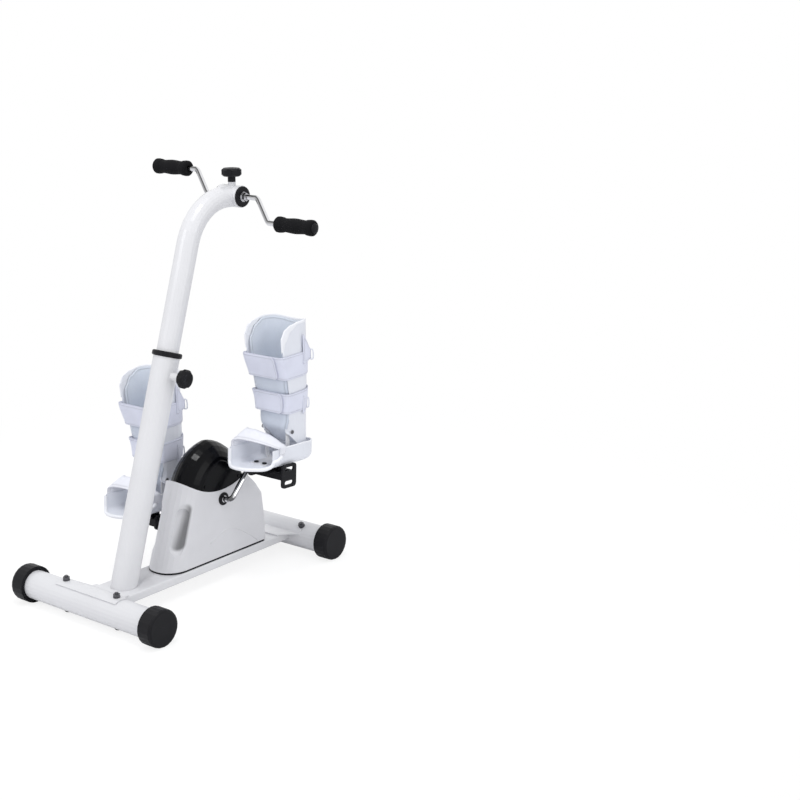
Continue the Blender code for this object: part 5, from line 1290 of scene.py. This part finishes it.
@dataclass(frozen=True)
class Studio:
    """The floor, the lamps and the camera of the photograph's view."""

    eye: tuple[float, float, float] = (2.3552, -2.2759, 1.2905)
    down: float = 14.710
    turn: float = 37.424
    lens: float = 65.88
    sensor: float = 36.0
    floor_size: float = 30.0
    ambient: float = 0.80
    floor_glow: float = 0.80
    fade: tuple[float, float] = (0.5, 1.6)
    lamps: Sequence[Lamp] = (
        Lamp("key", (-0.9, -2.8, 2.4), 1.2, 1.2, 16.0),
        Lamp("fill", (2.8, -0.4, 1.6), 1.6, 1.6, 11.0),
        Lamp("top", (0.50, -0.62, 3.1), 0.16, 0.9, 18.0),
    )

    def build(self) -> None:
        """Builds the whole studio."""
        self.camera()
        self.world()
        self.floor()
        for lamp in self.lamps:
            lamp.build()
        bpy.context.scene.view_settings.view_transform = "Standard"

    def camera(self) -> None:
        """The camera."""
        data = bpy.data.cameras.new("camera")
        data.lens = self.lens
        data.sensor_width = self.sensor
        camera = bpy.data.objects.new("camera", data)
        camera.location = self.eye
        camera.rotation_euler = (math.radians(90 - self.down), 0, math.radians(self.turn))
        bpy.context.scene.collection.objects.link(camera)
        bpy.context.scene.camera = camera

    def world(self) -> None:
        """Soft light all round, and plain white where the background is seen or reflected."""
        tree = Tree("studio", for_world=True)
        seen, glossy, through = (
            tree.add("ShaderNodeLightPath", {}, {}, output)
            for output in ("Is Camera Ray", "Is Glossy Ray", "Is Transmission Ray")
        )
        shown = seen.math("MAXIMUM", glossy).math("MAXIMUM", through)
        soft_light = {"Color": (0.97, 0.98, 1.0, 1.0), "Strength": self.ambient}
        soft = tree.add("ShaderNodeBackground", {}, soft_light)
        white = tree.add("ShaderNodeBackground", {}, {"Color": (1.0, 1.0, 1.0, 1.0)})
        tree.end("ShaderNodeOutputWorld", tree.add("ShaderNodeMixShader", {}, {0: shown, 1: soft, 2: white}))
        bpy.context.scene.world = tree.owner

    def floor(self) -> None:
        """A pale floor that fades to white away from the object and keeps its shadow."""
        shape = bmesh.new()
        bmesh.ops.create_grid(shape, x_segments=1, y_segments=1, size=self.floor_size)
        mesh = bpy.data.meshes.new("floor")
        shape.to_mesh(mesh)
        shape.free()
        floor = bpy.data.objects.new("floor", mesh)
        bpy.context.scene.collection.objects.link(floor)
        tree = Tree("floor_finish")
        x, y, _ = tree.parts(tree.place())
        away = (x * x + y * y).math("SQRT").step(*self.fade)
        seen = tree.add("ShaderNodeLightPath", {}, {}, "Is Camera Ray")
        lit = tree.add("ShaderNodeBsdfDiffuse", {}, {"Color": (0.86, 0.86, 0.87, 1.0)})
        faint = tree.add("ShaderNodeBsdfDiffuse", {}, {"Color": (0.25, 0.25, 0.25, 1.0)})
        glow = tree.add("ShaderNodeEmission", {}, {"Color": (1, 1, 1, 1), "Strength": self.floor_glow})
        near = tree.add("ShaderNodeAddShader", {}, {0: faint, 1: glow})
        white = tree.add("ShaderNodeEmission", {}, {"Color": (1, 1, 1, 1), "Strength": 1.0})
        shown = tree.add("ShaderNodeMixShader", {}, {0: away, 1: near, 2: white})
        tree.end("ShaderNodeOutputMaterial", tree.add("ShaderNodeMixShader", {}, {0: seen, 1: lit, 2: shown}))
        floor.data.materials.append(tree.owner)


def clear_startup() -> None:
    """Removes what Blender's own startup scene holds."""
    for name in ("Cube", "Light", "Camera"):
        found = bpy.data.objects.get(name)
        if found is not None:
            bpy.data.objects.remove(found)


def main() -> None:
    """Builds the looks around the frame."""
    logging.basicConfig(level=logging.INFO, format="%(message)s")
    clear_startup()
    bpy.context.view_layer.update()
    Studio().build()
    finisher = Finisher()
    finisher.dress_nodes()
    maker = Maker(finisher)
    for side in Side:
        Boot(side).build(maker)
        HandGrip(side).build(maker)
    Shroud().build(maker)
    bpy.context.view_layer.update()


if __name__ == "__main__":
    main()
